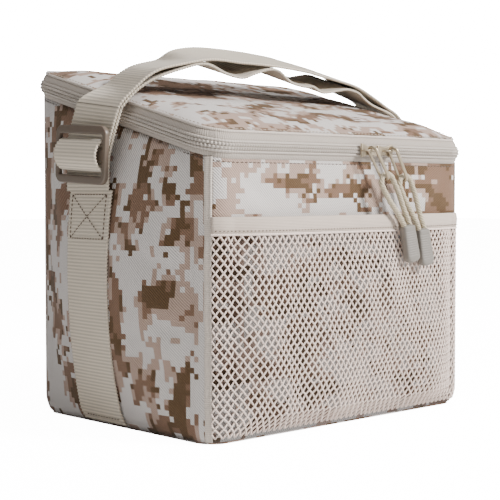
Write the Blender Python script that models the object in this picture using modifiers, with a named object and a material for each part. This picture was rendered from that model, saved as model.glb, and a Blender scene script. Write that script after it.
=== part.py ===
"""Insulated cooler bag: a soft box with foam walls and a liner, a sloped zipped lid on a fabric hinge,
a net pocket across the front and a webbing carry strap over the top.

Metres, +Z up, front towards -Y. The origin is the centre of the base's underside.
"""

import math

import bmesh
import bpy
from mathutils import Matrix, Vector

# Driving dimensions of the box
WIDTH = 0.280
DEPTH = 0.206
FRONT_ZIP_HEIGHT = 0.205
BACK_ZIP_HEIGHT = 0.259
CORNER_RADIUS = 0.020
SLOPE = (BACK_ZIP_HEIGHT - FRONT_ZIP_HEIGHT) / DEPTH
SLOPE_ANGLE = math.atan(SLOPE)

# Shell and padding, from the outside in
CLEARANCE = 0.0004
PANEL = 0.0012
FOAM_INSET = 0.0020
FOAM = 0.0065
LINER_INSET = 0.0100
LINER = 0.0006
BOARD = 0.0024
BOARD_INSET = 0.0068
BASE_FOAM_INSET = 0.0055
WALL_FOOT = 0.0016
TUCK = 0.0045
TUCK_HEIGHT = 0.015
BULGE = {"left": 0.018, "front": 0.0015, "right": 0.018, "back": 0.004}

# Zip band, measured up and down from the line between the two coils
BAND_BELOW = 0.0080
BAND_ABOVE = 0.0095
TAPE = 0.0010
TAPE_EDGE = 0.0050
TAPE_PROUD = 0.0015
COIL_LOW = 0.0008
COIL_HIGH = 0.0042
COIL_PROUD = 0.0030
COIL = 0.0035

# Lid
LID_INSET = 0.0015
LID_PADDING_INSET = 0.0042
LID_CROWN = 0.0065
LID_CROWN_REACH = 0.035
LID_FOAM_LOW = 0.0055
LID_LINER_LOW = 0.0038
HINGE_GAP = 0.0012

# Front pocket
POCKET_LOW = 0.0045
POCKET_HIGH = 0.1460
BINDING_HIGH = 0.1570
POCKET_SHEET = 0.0012
BINDING = 0.0016
POCKET_SEAM_GAP = 0.0007
POCKET_MOUTH = 0.0080
POCKET_SAG = 0.0110

# Carry strap
WEBBING_WIDTH = 0.050
WEBBING = 0.0016
STRAP_Y = 0.011
SEWN_TOP = 0.1760
LEG_TOP = 0.2358
ARCH_FOOT = 0.2368
INNER_LEG_X = 0.1572
OUTER_LEG_X = 0.1600
LEFT_LEG_LEAN = 0.0065
LEFT_TWIST = 0.5
RIGHT_TWIST = 1.2
TWIST_START_X = -0.1000
TWIST_END_X = -0.0400
LEG_STEPS = 3

# Strap hardware
GLIDE_HEIGHT = 0.2010
GLIDE_SIZE = (0.0040, 0.0600, 0.0420)
GLIDE_SLOT = (0.0520, 0.0110)
GLIDE_BAR = 0.0080
GLIDE_X = 0.1634
RING_HEIGHT = 0.1920
RING_SIZE = (0.0036, 0.0600, 0.0240)
RING_SLOT = (0.0520, 0.0150)
RING_X = 0.1612
RING_WRAP = 0.0050

# Sliders and pulls
SLIDER_LENGTH = 0.0175
SLIDER_PITCH = 0.0181
SLIDERS_MEET_X = 0.0245
SLIDER_GRIP = 0.0003
SLIDER_JAW = 0.0018
SLIDER_PLATE = 0.0016
SLIDER_REAR = 0.0012
SLIDER_POST = 0.0005
SLIDER_RISE = 0.0050
SLIDER_DROP = 0.0055
SLIDER_REAR_HALF = 0.0048
BAIL_STANDOFF = 0.0051
BAIL_OFFSET = 0.0027
BAIL_ROD = 0.0016
BAIL_HALF = 0.0056
FUSE = 0.0004
TAB_WIRE = 0.0012
TAB_HALF_WIDTH = 0.0040
TAB_TOP = 0.0026
TAB_BOTTOM = -0.0250
CORD_RADIUS = 0.0021
CORD_BEND = 0.0065
CORD_FOOT = -0.0620
CORD_LEG = ((0.0062, -0.0380), (0.0052, -0.0450), (0.0040, -0.0520), (0.0033, -0.0580), (0.0032, CORD_FOOT))
END_SIZE = (0.0140, 0.0080, 0.0290)
PULL_LEAN = {"left": math.radians(30), "right": math.radians(24)}
PULL_TILT = math.radians(6)
END_UPRIGHT = 0.75
END_DROP = 0.0028

SEAM_ANGLE = math.radians(44.1)
CORNER_STEPS = 3
PANELS = {
    "left": (Vector((-1, 0, 0)), WIDTH / 2, DEPTH / 2),
    "front": (Vector((0, -1, 0)), DEPTH / 2, WIDTH / 2),
    "right": (Vector((1, 0, 0)), WIDTH / 2, DEPTH / 2),
    "back": (Vector((0, 1, 0)), DEPTH / 2, WIDTH / 2),
}
WALL_ROWS = (0, 0.015, 0.04, 0.07, 0.17, 0.3, 0.43, 0.56, 0.7, 0.84, 1)
PADDING_ROWS = (0, 0.07, 0.17, 0.3, 0.43, 0.56, 0.7, 0.84, 1)
WALL_TOP = -BAND_BELOW - CLEARANCE

COLOURS = {
    "camo_fabric": ((0.50, 0.40, 0.31), 0.85, 0),
    "board": ((0.06, 0.06, 0.06), 0.6, 0),
    "foam": ((0.85, 0.85, 0.82), 0.9, 0),
    "liner": ((0.62, 0.64, 0.66), 0.35, 0),
    "zip_tape": ((0.58, 0.52, 0.44), 0.85, 0),
    "zip_coil": ((0.60, 0.55, 0.47), 0.45, 0),
    "net": ((0.66, 0.58, 0.49), 0.8, 0),
    "binding": ((0.62, 0.55, 0.47), 0.85, 0),
    "webbing": ((0.57, 0.49, 0.38), 0.85, 0),
    "buckle": ((0.19, 0.165, 0.135), 0.45, 0),
    "slider_metal": ((0.50, 0.42, 0.32), 0.35, 0.8),
    "pull_cord": ((0.60, 0.53, 0.42), 0.8, 0),
    "cord_end": ((0.27, 0.26, 0.24), 0.55, 0),
}


def clear_scene():
    for obj in list(bpy.data.objects):
        bpy.data.objects.remove(obj, do_unlink=True)


def new_collection(name):
    collection = bpy.data.collections.new(name)
    bpy.context.scene.collection.children.link(collection)
    return collection


def new_material(name, slot):
    colour, roughness, metallic = COLOURS[slot]
    material = bpy.data.materials.new(f"{name}_{slot}")
    material.use_nodes = True
    shader = material.node_tree.nodes["Principled BSDF"]
    shader.inputs["Base Color"].default_value = (*colour, 1)
    shader.inputs["Roughness"].default_value = roughness
    shader.inputs["Metallic"].default_value = metallic
    return material


def add_object(name, data, slot):
    data.materials.append(new_material(name, slot))
    obj = bpy.data.objects.new(name, data)
    PARTS.objects.link(obj)
    return obj


def finish_mesh(bm, name, slot, smooth=True):
    mesh = bpy.data.meshes.new(name)
    bm.to_mesh(mesh)
    bm.free()
    if smooth:
        mesh.shade_smooth()
        mesh.set_sharp_from_angle(angle=math.radians(40))
    return add_object(name, mesh, slot)


def solidify(obj, thickness, offset=-1):
    modifier = obj.modifiers.new("Thickness", "SOLIDIFY")
    modifier.thickness = thickness
    modifier.offset = offset


def spread(low, high, steps):
    return [low + (high - low) * step / steps for step in range(steps + 1)]


# The plan of the bag: a rounded rectangle, walked panel by panel


def along(normal):
    """The direction in which a panel is walked, a quarter turn from its outward normal."""
    return Vector((-normal.y, normal.x, 0))


def stations(panel, straight_steps, first_corner=True, last_corner=True):
    """Places along one panel, as (panel, distance from its middle, angle round its corner)."""
    reach = PANELS[panel][2] - CORNER_RADIUS
    angles = spread(0, SEAM_ANGLE, CORNER_STEPS)[1:]
    found = [(panel, s, 0) for s in spread(-reach, reach, straight_steps)]
    if first_corner:
        found = [(panel, -reach, -angle) for angle in reversed(angles)] + found
    if last_corner:
        found += [(panel, reach, angle) for angle in angles]
    return found


def plan_point(station, inset):
    """A point of the rounded rectangle, drawn in by inset; deep inside, its corners keep a small radius."""
    panel, distance, angle = station
    normal, half_depth, half_length = PANELS[panel]
    radius = max(CORNER_RADIUS - inset, 0.002)
    reach = half_length - CORNER_RADIUS
    inner_reach = half_length - inset - radius
    centre = normal * (half_depth - inset - radius) + along(normal) * (distance / reach * inner_reach)
    return centre + radius * (normal * math.cos(angle) + along(normal) * math.sin(angle))


def zip_height(y):
    return FRONT_ZIP_HEIGHT + SLOPE * (y + DEPTH / 2)


def tuck(z):
    """How far the walls draw in towards the base."""
    return TUCK * max(0, 1 - z / TUCK_HEIGHT) ** 2


def bulge(station, z, y):
    """How far a wall swells out of its flat plane."""
    panel, distance, angle = station
    reach = PANELS[panel][2] - CORNER_RADIUS
    across = 1 - abs(distance / reach) ** 2.5
    rise = min(1, max(0, z / (zip_height(y) - BAND_BELOW)))
    return 0 if angle else BULGE[panel] * across * max(0, math.sin(math.pi * rise)) ** 0.7


def wall_point(station, z, inset):
    point = plan_point(station, inset + tuck(z))
    normal = PANELS[station[0]][0]
    return point + normal * bulge(station, z, point.y) + Vector((0, 0, z))


def band_point(station, offset, inset):
    """A point at a height measured from the line between the coils."""
    height = zip_height(plan_point(station, max(0, inset)).y) + offset
    return plan_point(station, inset) + Vector((0, 0, height))


# Surfaces


def grid_mesh(columns, rows, place):
    """A grid whose points are placed by column and row; each point remembers its row."""
    bm = bmesh.new()
    last_column = len(columns) - 1
    last_row = len(rows) - 1
    bmesh.ops.create_grid(bm, x_segments=last_column, y_segments=last_row, size=1)
    row_of = bm.verts.layers.int.new("row")
    for vert in bm.verts:
        column = columns[round((vert.co.x + 1) / 2 * last_column)]
        vert[row_of] = round((vert.co.y + 1) / 2 * last_row)
        vert.co = place(column, rows[vert[row_of]])
    bm.normal_update()
    return bm


def sheet(name, slot, columns, rows, place, thickness, offset=-1):
    obj = finish_mesh(grid_mesh(columns, rows, place), name, slot)
    solidify(obj, thickness, offset)
    return obj


def loop(name, slot, rows, place, fill_first, fill_last):
    """A surface that runs right round the plan, closed at its first row, its last row or both."""
    columns = []
    for panel in PANELS:
        columns += stations(panel, 8)
    columns.append(columns[0])
    bm = grid_mesh(columns, rows, place)
    bmesh.ops.remove_doubles(bm, verts=bm.verts, dist=1e-6)
    row_of = bm.verts.layers.int["row"]
    for fill, row in ((fill_first, 0), (fill_last, len(rows) - 1)):
        ends = [edge for edge in bm.edges if edge.is_boundary]
        rim = [edge for edge in ends if all(vert[row_of] == row for vert in edge.verts)]
        if fill:
            bmesh.ops.edgeloop_fill(bm, edges=rim)
    bm.faces.ensure_lookup_table()
    first = bm.faces[0]
    outward = first.normal.copy()
    bmesh.ops.recalc_face_normals(bm, faces=bm.faces)
    if first.normal.dot(outward) < 0:
        bmesh.ops.reverse_faces(bm, faces=bm.faces)
    return finish_mesh(bm, name, slot)


def plate(name, slot, inset, low, high):
    """A flat rounded plate of the plan's outline."""
    radius = CORNER_RADIUS - inset
    size = Vector((WIDTH - 2 * inset, DEPTH - 2 * inset, high - low))
    bm = bmesh.new()
    middle = Matrix.Translation((0, 0, (low + high) / 2))
    bmesh.ops.create_cube(bm, size=1, matrix=middle @ Matrix.Diagonal((*size, 1)))
    upright = [edge for edge in bm.edges if abs(edge.verts[0].co.z - edge.verts[1].co.z) > size.z / 2]
    bmesh.ops.bevel(bm, geom=upright, offset=radius, segments=6, profile=0.5, affect="EDGES")
    return finish_mesh(bm, name, slot)


def box_mesh(name, low, high):
    low = Vector(low)
    high = Vector(high)
    bm = bmesh.new()
    bmesh.ops.create_cube(
        bm, size=1, matrix=Matrix.Translation((low + high) / 2) @ Matrix.Diagonal((*(high - low), 1))
    )
    mesh = bpy.data.meshes.new(name)
    bm.to_mesh(mesh)
    bm.free()
    return mesh


def helper_box(name, low, high):
    obj = bpy.data.objects.new(name, box_mesh(name, low, high))
    obj.hide_render = True
    obj.display_type = "WIRE"
    CUTTERS.objects.link(obj)
    return obj


def combine(obj, other, operation):
    modifier = obj.modifiers.new(other.name, "BOOLEAN")
    modifier.operation = operation
    modifier.object = other


def round_edges(obj, width, segments=2):
    modifier = obj.modifiers.new("Rounded", "BEVEL")
    modifier.width = width
    modifier.segments = segments
    modifier.limit_method = "ANGLE"


def tube(name, slot, points, radius, closed):
    curve = bpy.data.curves.new(name, "CURVE")
    curve.dimensions = "3D"
    curve.bevel_depth = radius
    curve.bevel_resolution = 2
    curve.use_fill_caps = not closed
    spline = curve.splines.new("POLY")
    spline.points.add(len(points) - 1)
    spline.use_cyclic_u = closed
    for place, point in zip(spline.points, points):
        place.co = (*point, 1)
    return add_object(name, curve, slot)


# Outer shell, padding and liner


def wall_rows(inset, foot=WALL_FOOT):
    """Maps a fraction of a wall's height to its point; the first row lies level at the foot."""

    def place(station, fraction):
        top = zip_height(plan_point(station, max(0, inset)).y) + WALL_TOP
        z = WALL_FOOT + (top - WALL_FOOT) * fraction
        return wall_point(station, z if fraction else foot, inset)

    return place


def make_shell():
    for panel in PANELS:
        sheet(f"{panel}_panel", "camo_fabric", stations(panel, 8), WALL_ROWS, wall_rows(0), PANEL)
    plate("base_panel", "camo_fabric", TUCK, 0, WALL_FOOT - CLEARANCE)


def make_padding():
    board_low = WALL_FOOT + CLEARANCE
    board_high = board_low + BOARD
    foam_low = board_high + CLEARANCE
    foam_high = foam_low + FOAM
    plate("base_board", "board", BOARD_INSET, board_low, board_high)
    plate("base_foam", "foam", BASE_FOAM_INSET, foam_low, foam_high)
    for panel in PANELS:
        columns = stations(panel, 8, first_corner=False, last_corner=False)
        place = wall_rows(FOAM_INSET, foam_high + CLEARANCE)
        sheet(f"{panel}_foam", "foam", columns, PADDING_ROWS, place, FOAM)
    place = wall_rows(LINER_INSET, foam_high + CLEARANCE)
    tub = loop("liner_tub", "liner", PADDING_ROWS, place, fill_first=True, fill_last=False)
    solidify(tub, LINER)


# Zip band, hinge and lid


def band_stations(corner_ends):
    """Round the left side, the front and the right side."""
    first = stations("left", 4, first_corner=corner_ends)
    last = stations("right", 4, last_corner=corner_ends)
    return first[:-1] + stations("front", 8) + last[1:]


def coil(name, low, high):
    def place(station, offset):
        return band_point(station, offset, -COIL_PROUD)

    return sheet(name, "zip_coil", band_stations(corner_ends=False), (low, high), place, COIL)


def tape(name, edge, rim, rim_inset):
    def place(station, offset):
        share = (abs(offset) - TAPE_EDGE) / (abs(rim) - TAPE_EDGE)
        inset = -TAPE_PROUD + (rim_inset + TAPE_PROUD) * share
        return band_point(station, offset, inset)

    rows = sorted((edge, rim))
    return sheet(name, "zip_tape", band_stations(corner_ends=True), rows, place, TAPE)


def make_zip():
    coil("body_zip_coil", -COIL_HIGH, -COIL_LOW)
    coil("lid_zip_coil", COIL_LOW, COIL_HIGH)
    tape("body_zip_tape", -TAPE_EDGE, -BAND_BELOW, 0)
    tape("lid_zip_tape", TAPE_EDGE, BAND_ABOVE, LID_INSET)


def make_hinge():
    def gusset(station, offset):
        return band_point(station, offset, LID_INSET * max(0, offset) / BAND_ABOVE)

    columns = stations("back", 4)
    sheet("body_hinge_gusset", "camo_fabric", columns, (-BAND_BELOW, -HINGE_GAP), gusset, PANEL)
    sheet("lid_hinge_gusset", "camo_fabric", columns, (HINGE_GAP, BAND_ABOVE), gusset, PANEL)


def crown(depth_in):
    """The lid's rise at a distance in from its edge."""
    share = min(1, max(0, depth_in) / LID_CROWN_REACH)
    return LID_CROWN * (1 - (1 - share) ** 2)


def make_lid():
    lid_edge = BAND_ABOVE + PANEL + CLEARANCE
    crown_insets = (0, 0.004, 0.010, 0.018, 0.027, 0.036, 0.055)

    def skin(station, depth_in):
        return band_point(station, lid_edge + crown(depth_in), LID_INSET + depth_in)

    lid = loop("lid_panel", "camo_fabric", crown_insets, skin, fill_first=False, fill_last=True)
    solidify(lid, PANEL)

    foam_top = lid_edge - PANEL - CLEARANCE
    foam_rows = [(0, LID_FOAM_LOW)]
    for depth_in in crown_insets[1:]:
        foam_rows.append((depth_in - 0.0035, foam_top + crown(depth_in - 0.001)))

    def padding(station, row):
        return band_point(station, row[1], LID_PADDING_INSET + row[0])

    loop("lid_foam", "foam", foam_rows, padding, fill_first=True, fill_last=True)
    liner_rows = [(0, LID_LINER_LOW), (0, LID_LINER_LOW + 0.0012)]
    loop("lid_liner", "liner", liner_rows, padding, fill_first=True, fill_last=True)


# Front pocket


def pocket_stand_off(station, z):
    """How far the net stands in front of the front panel."""
    panel, distance, angle = station
    if angle:
        return POCKET_SEAM_GAP
    across = 1 - abs(distance / (PANELS[panel][2] - CORNER_RADIUS)) ** 6
    height = z / BINDING_HIGH
    closing = min(1, max(0, (z - POCKET_LOW) / 0.012))
    out = POCKET_MOUTH * math.sqrt(height) + POCKET_SAG * max(0, math.sin(math.pi * height**0.62))
    return POCKET_SEAM_GAP + across * closing * out


def make_pocket():
    columns = stations("front", 12)
    net_rows = (POCKET_LOW, 0.009, 0.0165, 0.028, 0.045, 0.065, 0.085, 0.105, 0.125, POCKET_HIGH)
    binding_rows = (POCKET_HIGH + CLEARANCE, BINDING_HIGH)
    for name, slot, rows, thickness in (
        ("mesh_pocket", "net", net_rows, POCKET_SHEET),
        ("pocket_binding", "binding", binding_rows, BINDING),
    ):

        def place(station, z, thickness=thickness):
            return wall_point(station, z, -pocket_stand_off(station, z) - thickness)

        sheet(name, slot, columns, rows, place, thickness)


# Carry strap


def lean(x, height):
    """The strap's tilt: level where it is sewn, along the lid's slope on its arch, less so on the left."""
    rise = min(1, max(0, (height - SEWN_TOP) / (ARCH_FOOT - SEWN_TOP)))
    share = min(1, max(0, (x - TWIST_START_X) / (TWIST_END_X - TWIST_START_X)))
    return SLOPE_ANGLE * rise * (LEFT_TWIST + (RIGHT_TWIST - LEFT_TWIST) * share * share * (3 - 2 * share))


def strap_point(x, height, across):
    """A point of the strap: x and height of its middle line, and a distance across its width."""
    curved = min(ARCH_FOOT, max(SEWN_TOP, height)) - SEWN_TOP
    drift = SLOPE * (curved**2 / (2 * (ARCH_FOOT - SEWN_TOP)) + max(0, height - ARCH_FOOT))
    turn = lean(x, height)
    return Vector((x, STRAP_Y - drift + across * math.cos(turn), height + across * math.sin(turn)))


def catmull_rom(p, q, r, s, t):
    return 0.5 * (2 * q + (r - p) * t + (2 * p - 5 * q + 4 * r - s) * t**2 + (3 * q - p - 3 * r + s) * t**3)


def smooth_path(points, steps):
    """A Catmull-Rom curve through points."""
    padded = [points[0], *points, points[-1]]
    found = []
    for quad in zip(padded, padded[1:], padded[2:], padded[3:]):
        for step in range(steps):
            t = step / steps
            found.append(tuple(catmull_rom(*values, t) for values in zip(*quad)))
    return [*found, points[-1]]


def webbing_strip(name, path):
    """Webbing along a path of (x, height), with its thickness shared to both sides."""
    half = WEBBING_WIDTH / 2

    def place(point, across):
        return strap_point(*point, across)

    return sheet(name, "webbing", path, (-half, 0, half), place, WEBBING, offset=0)


OUTER_ARCH = (
    (-OUTER_LEG_X + LEFT_LEG_LEAN, ARCH_FOOT),
    (-0.1505, 0.2420),
    (-0.1450, 0.2478),
    (-0.1389, 0.2538),
    (-0.1310, 0.2605),
    (-0.1192, 0.2663),
    (-0.0962, 0.2718),
    (-0.0678, 0.2783),
    (-0.0354, 0.2795),
    (-0.0030, 0.2790),
    (0.0291, 0.2771),
    (0.0424, 0.2754),
    (0.0678, 0.2722),
    (0.0917, 0.2683),
    (0.1136, 0.2612),
    (0.1346, 0.2533),
    (0.1470, 0.2490),
    (0.1560, 0.2440),
    (0.1595, 0.2405),
    (OUTER_LEG_X, ARCH_FOOT),
)
INNER_ARCH = (
    (-INNER_LEG_X + LEFT_LEG_LEAN, ARCH_FOOT),
    (-0.1475, 0.2415),
    (-0.1435, 0.2460),
    (-0.1385, 0.2508),
    (-0.1300, 0.2563),
    (-0.1192, 0.2612),
    (-0.1002, 0.2675),
    (-0.0785, 0.2733),
    (-0.0584, 0.2700),
    (-0.0480, 0.2688),
    (-0.0373, 0.2687),
    (-0.0261, 0.2725),
    (-0.0135, 0.2762),
    (-0.0023, 0.2757),
    (0.0085, 0.2703),
    (0.0159, 0.2673),
    (0.0311, 0.2654),
    (0.0392, 0.2659),
    (0.0504, 0.2622),
    (0.0599, 0.2627),
    (0.0700, 0.2645),
    (0.0814, 0.2658),
    (0.0943, 0.2637),
    (0.1033, 0.2593),
    (0.1158, 0.2543),
    (0.1393, 0.2487),
    (0.1490, 0.2445),
    (0.1550, 0.2405),
    (INNER_LEG_X, ARCH_FOOT),
)
KEEPER_FRONT = ((0.1605, 0.1440), (0.1592, 0.1580), (0.1578, 0.1700))
KEEPER_BACK = ((0.1642, 0.1700), (0.1628, 0.1580), (0.1630, 0.1440))
ROLL = ((0.0010, 0.0108), (-0.0014, 0.0098), (-0.0042, 0.0070), (-0.0058, 0.0036), (-0.0064, 0.0))


def make_side_webbing(panel):
    side = -1 if panel == "left" else 1
    half = WEBBING_WIDTH / 2
    columns = [(panel, side * (STRAP_Y + across), 0) for across in spread(side * -half, side * half, 4)]
    seat = 0.0006
    rows = [row for row in WALL_ROWS if row < 0.75] + [0.775]
    sheet(f"{panel}_side_webbing", "webbing", columns, rows, wall_rows(-seat - WEBBING), WEBBING)


def half_turn(x, height, radius, upwards):
    """Points half way round a rail, over it or under it."""
    sign = 1 if upwards else -1
    return [
        (x - radius * math.cos(angle), height + sign * radius * math.sin(angle))
        for angle in spread(0, math.pi, 6)
    ]


def left_leg(foot_x, foot):
    """A leg that leans in from its foot to the arch."""
    return [
        (-foot_x + LEFT_LEG_LEAN * max(0, height - GLIDE_HEIGHT) / (ARCH_FOOT - GLIDE_HEIGHT), height)
        for height in spread(foot, LEG_TOP, LEG_STEPS)
    ]


def make_strap():
    for panel in ("left", "right"):
        make_side_webbing(panel)
    webbing_strip("strap_outer", smooth_path(OUTER_ARCH, 2))
    webbing_strip("strap_inner", smooth_path(INNER_ARCH, 2))
    webbing_strip("left_inner_leg", left_leg(INNER_LEG_X, SEWN_TOP + 0.003))
    webbing_strip("left_outer_leg", left_leg(OUTER_LEG_X, GLIDE_HEIGHT - 0.004))
    rail = (RING_SIZE[2] + RING_SLOT[1]) / 4
    turn = half_turn(RING_X, RING_HEIGHT + rail, RING_WRAP, upwards=False)
    webbing_strip("right_strap_return", [(INNER_LEG_X, LEG_TOP), *turn, (OUTER_LEG_X, LEG_TOP)])
    turn = half_turn(RING_X, RING_HEIGHT - rail, RING_WRAP, upwards=True)
    webbing_strip("ring_keeper", [*KEEPER_FRONT, *turn, *KEEPER_BACK])


def frame_plate(name, size, slot_size, slot_heights, place):
    """A flat plastic frame in the YZ plane with one or more slots."""
    half = Vector(size) / 2
    mesh = box_mesh(name, -half, half)
    obj = add_object(name, mesh, "buckle")
    round_edges(obj, 0.0011)
    for index, height in enumerate(slot_heights):
        low = (-size[0], -slot_size[0] / 2, height - slot_size[1] / 2)
        high = (size[0], slot_size[0] / 2, height + slot_size[1] / 2)
        cutter = helper_box(f"{name}_slot_{index}", low, high)
        cutter.matrix_world = place
        combine(obj, cutter, "DIFFERENCE")
    obj.matrix_world = place


def hardware_matrix(x, height):
    return Matrix.Translation(strap_point(x, height, 0)) @ Matrix.Rotation(lean(x, height), 4, "X")


def make_hardware():
    slot_height = (GLIDE_BAR + GLIDE_SLOT[1]) / 2
    place = hardware_matrix(-GLIDE_X, GLIDE_HEIGHT)
    frame_plate("tri_glide", GLIDE_SIZE, GLIDE_SLOT, (-slot_height, slot_height), place)
    frame_plate("strap_ring", RING_SIZE, RING_SLOT, (0,), hardware_matrix(RING_X, RING_HEIGHT))
    path = [*((x, -z) for x, z in ROLL), *reversed(ROLL[:-1])]
    half = WEBBING_WIDTH / 2

    def place_roll(point, across):
        return Vector((point[0], across, point[1]))

    obj = sheet("adjuster_roll", "webbing", path, (-half, 0, half), place_roll, WEBBING, offset=0)
    obj.matrix_world = place


# Sliders and their pulls


def make_slider(name, x, bail_x):
    """Two plates joined by a post between the coils, with a bail in front; the upper jaw is open wider."""
    front = -DEPTH / 2 - COIL_PROUD
    lower_jaw = front - SLIDER_GRIP
    upper_jaw = front - SLIDER_JAW
    face = upper_jaw - SLIDER_PLATE
    rear = front + COIL + SLIDER_GRIP
    half = SLIDER_LENGTH / 2
    middle = FRONT_ZIP_HEIGHT
    rod = BAIL_ROD / 2
    bail_y = face - BAIL_STANDOFF
    plate_low = (x - half, face, middle - SLIDER_DROP)
    plate_high = (x + half, upper_jaw, middle + SLIDER_RISE)
    obj = add_object(name, box_mesh(name, plate_low, plate_high), "slider_metal")
    left_arm = bail_x - BAIL_HALF
    right_arm = bail_x + BAIL_HALF
    jaw_back = upper_jaw - FUSE
    pieces = {
        "jaw": ((x - half, jaw_back, middle - SLIDER_DROP), (x + half, lower_jaw, middle - 0.0001)),
        "post": ((x - half, jaw_back, middle - SLIDER_POST), (x + half, rear + FUSE, middle + SLIDER_POST)),
        "rear": (
            (x - half, rear, middle - SLIDER_REAR_HALF),
            (x + half, rear + SLIDER_REAR, middle + SLIDER_REAR_HALF),
        ),
        "bail_bar": ((left_arm, bail_y - rod, middle - rod), (right_arm, bail_y + rod, middle + rod)),
    }
    for side, arm in (("left", left_arm), ("right", right_arm)):
        front_low = (arm - rod, bail_y - rod, middle - rod)
        back_high = (arm + rod, face + FUSE, middle + rod)
        pieces[f"bail_{side}"] = (front_low, back_high)
    for piece, (low, high) in pieces.items():
        combine(obj, helper_box(f"{name}_{piece}", low, high), "UNION")
    return Vector((bail_x, bail_y, middle))


def make_pull(side, pivot):
    """A wire tab on the slider's bail, a cord loop through it and a moulded end that grips the cord."""
    empty = bpy.data.objects.new(f"{side}_pull_pivot", None)
    PARTS.objects.link(empty)
    turn = Matrix.Rotation(-PULL_LEAN[side], 4, "Y") @ Matrix.Rotation(-PULL_TILT, 4, "X")
    empty.matrix_world = Matrix.Translation(pivot) @ turn
    top_centre = TAB_TOP - TAB_HALF_WIDTH
    bottom_centre = TAB_BOTTOM + TAB_HALF_WIDTH
    ring = [
        (0, TAB_HALF_WIDTH * math.cos(angle), top_centre + TAB_HALF_WIDTH * math.sin(angle))
        for angle in spread(0, math.pi, 8)
    ]
    ring += [
        (0, -TAB_HALF_WIDTH * math.cos(angle), bottom_centre - TAB_HALF_WIDTH * math.sin(angle))
        for angle in spread(0, math.pi, 8)
    ]
    tab = tube(f"{side}_tab", "slider_metal", ring, TAB_WIRE, closed=True)
    cord_top = TAB_BOTTOM + TAB_WIRE + CORD_RADIUS + 0.0003
    bend = cord_top - CORD_BEND
    arch = [
        (-CORD_BEND * math.cos(angle), 0, bend + CORD_BEND * math.sin(angle))
        for angle in spread(0, math.pi, 10)
    ]
    leg = [(-x, 0, z) for x, z in CORD_LEG]
    other_leg = [(x, 0, z) for x, z in CORD_LEG]
    cord = tube(f"{side}_cord", "pull_cord", [*reversed(leg), *arch, *other_leg], CORD_RADIUS, closed=False)
    low = (-END_SIZE[0] / 2, -END_SIZE[1] / 2, -END_SIZE[2])
    high = (END_SIZE[0] / 2, END_SIZE[1] / 2, 0)
    end = add_object(f"{side}_cord_end", box_mesh(f"{side}_cord_end", low, high), "cord_end")
    end.location.z = CORD_FOOT - END_DROP
    end.rotation_euler.y = END_UPRIGHT * PULL_LEAN[side]
    round_edges(end, 0.0022)
    for piece in (tab, cord, end):
        piece.parent = empty


def make_sliders():
    for side, sign in (("left", -1), ("right", 1)):
        x = SLIDERS_MEET_X + sign * SLIDER_PITCH / 2
        pivot = make_slider(f"{side}_slider", x, x + sign * BAIL_OFFSET)
        make_pull(side, pivot)


clear_scene()
PARTS = new_collection("insulated_cooler_bag")
CUTTERS = new_collection("cutters")
CUTTERS.hide_render = True
make_shell()
make_padding()
make_zip()
make_hinge()
make_lid()
make_pocket()
make_strap()
make_hardware()
make_sliders()
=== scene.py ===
"""Insulated cooler bag: the visual model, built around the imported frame. Metres, +Z up, front towards -Y."""

import math

import bmesh
import bpy
from mathutils import Matrix, Vector, noise


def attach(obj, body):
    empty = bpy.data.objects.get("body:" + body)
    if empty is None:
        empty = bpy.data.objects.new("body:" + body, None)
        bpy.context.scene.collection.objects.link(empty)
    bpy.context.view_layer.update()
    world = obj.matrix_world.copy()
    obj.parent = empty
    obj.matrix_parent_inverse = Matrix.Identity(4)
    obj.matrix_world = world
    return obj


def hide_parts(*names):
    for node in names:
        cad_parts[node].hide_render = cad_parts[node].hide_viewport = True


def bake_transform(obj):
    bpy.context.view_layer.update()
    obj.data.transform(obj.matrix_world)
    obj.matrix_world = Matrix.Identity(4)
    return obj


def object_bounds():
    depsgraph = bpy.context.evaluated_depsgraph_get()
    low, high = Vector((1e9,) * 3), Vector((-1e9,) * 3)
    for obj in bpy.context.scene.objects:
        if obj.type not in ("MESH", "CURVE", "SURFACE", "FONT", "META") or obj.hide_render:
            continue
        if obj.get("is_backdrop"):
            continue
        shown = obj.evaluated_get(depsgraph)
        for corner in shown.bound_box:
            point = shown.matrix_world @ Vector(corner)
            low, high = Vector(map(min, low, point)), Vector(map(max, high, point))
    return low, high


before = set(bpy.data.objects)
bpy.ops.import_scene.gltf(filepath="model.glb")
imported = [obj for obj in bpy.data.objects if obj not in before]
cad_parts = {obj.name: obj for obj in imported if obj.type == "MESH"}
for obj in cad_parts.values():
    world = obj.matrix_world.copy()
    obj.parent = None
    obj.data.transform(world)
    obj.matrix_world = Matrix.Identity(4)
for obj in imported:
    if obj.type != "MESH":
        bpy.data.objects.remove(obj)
CAD_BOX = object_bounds()

# Driving dimensions, the same as the frame's
WIDTH = 0.280
DEPTH = 0.206
FRONT_ZIP = 0.205
BACK_ZIP = 0.259
RADIUS = 0.020
SLOPE = (BACK_ZIP - FRONT_ZIP) / DEPTH
SLOPE_ANGLE = math.atan(SLOPE)
WALL_FOOT = 0.0016
TUCK = 0.0045
TUCK_HEIGHT = 0.015
BULGE = {"left": 0.018, "front": 0.0015, "right": 0.018, "back": 0.004}
BAND_BELOW = 0.0080
BAND_ABOVE = 0.0095
WALL_TOP = -0.0084
PANEL = 0.0012
LINER_INSET = 0.0100
LID_INSET = 0.0015
LID_EDGE = 0.0111
LID_CROWN = 0.0065
LID_REACH = 0.035
POCKET_LOW = 0.0045
POCKET_HIGH = 0.1460
BINDING_HIGH = 0.1570
POCKET_SEAM_GAP = 0.0007
POCKET_MOUTH = 0.0080
POCKET_SAG = 0.0110
WEBBING_WIDTH = 0.050
WEBBING = 0.0016
STRAP_Y = 0.011
SEWN_TOP = 0.1760
LEG_TOP = 0.2358
ARCH_FOOT = 0.2368
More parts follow.
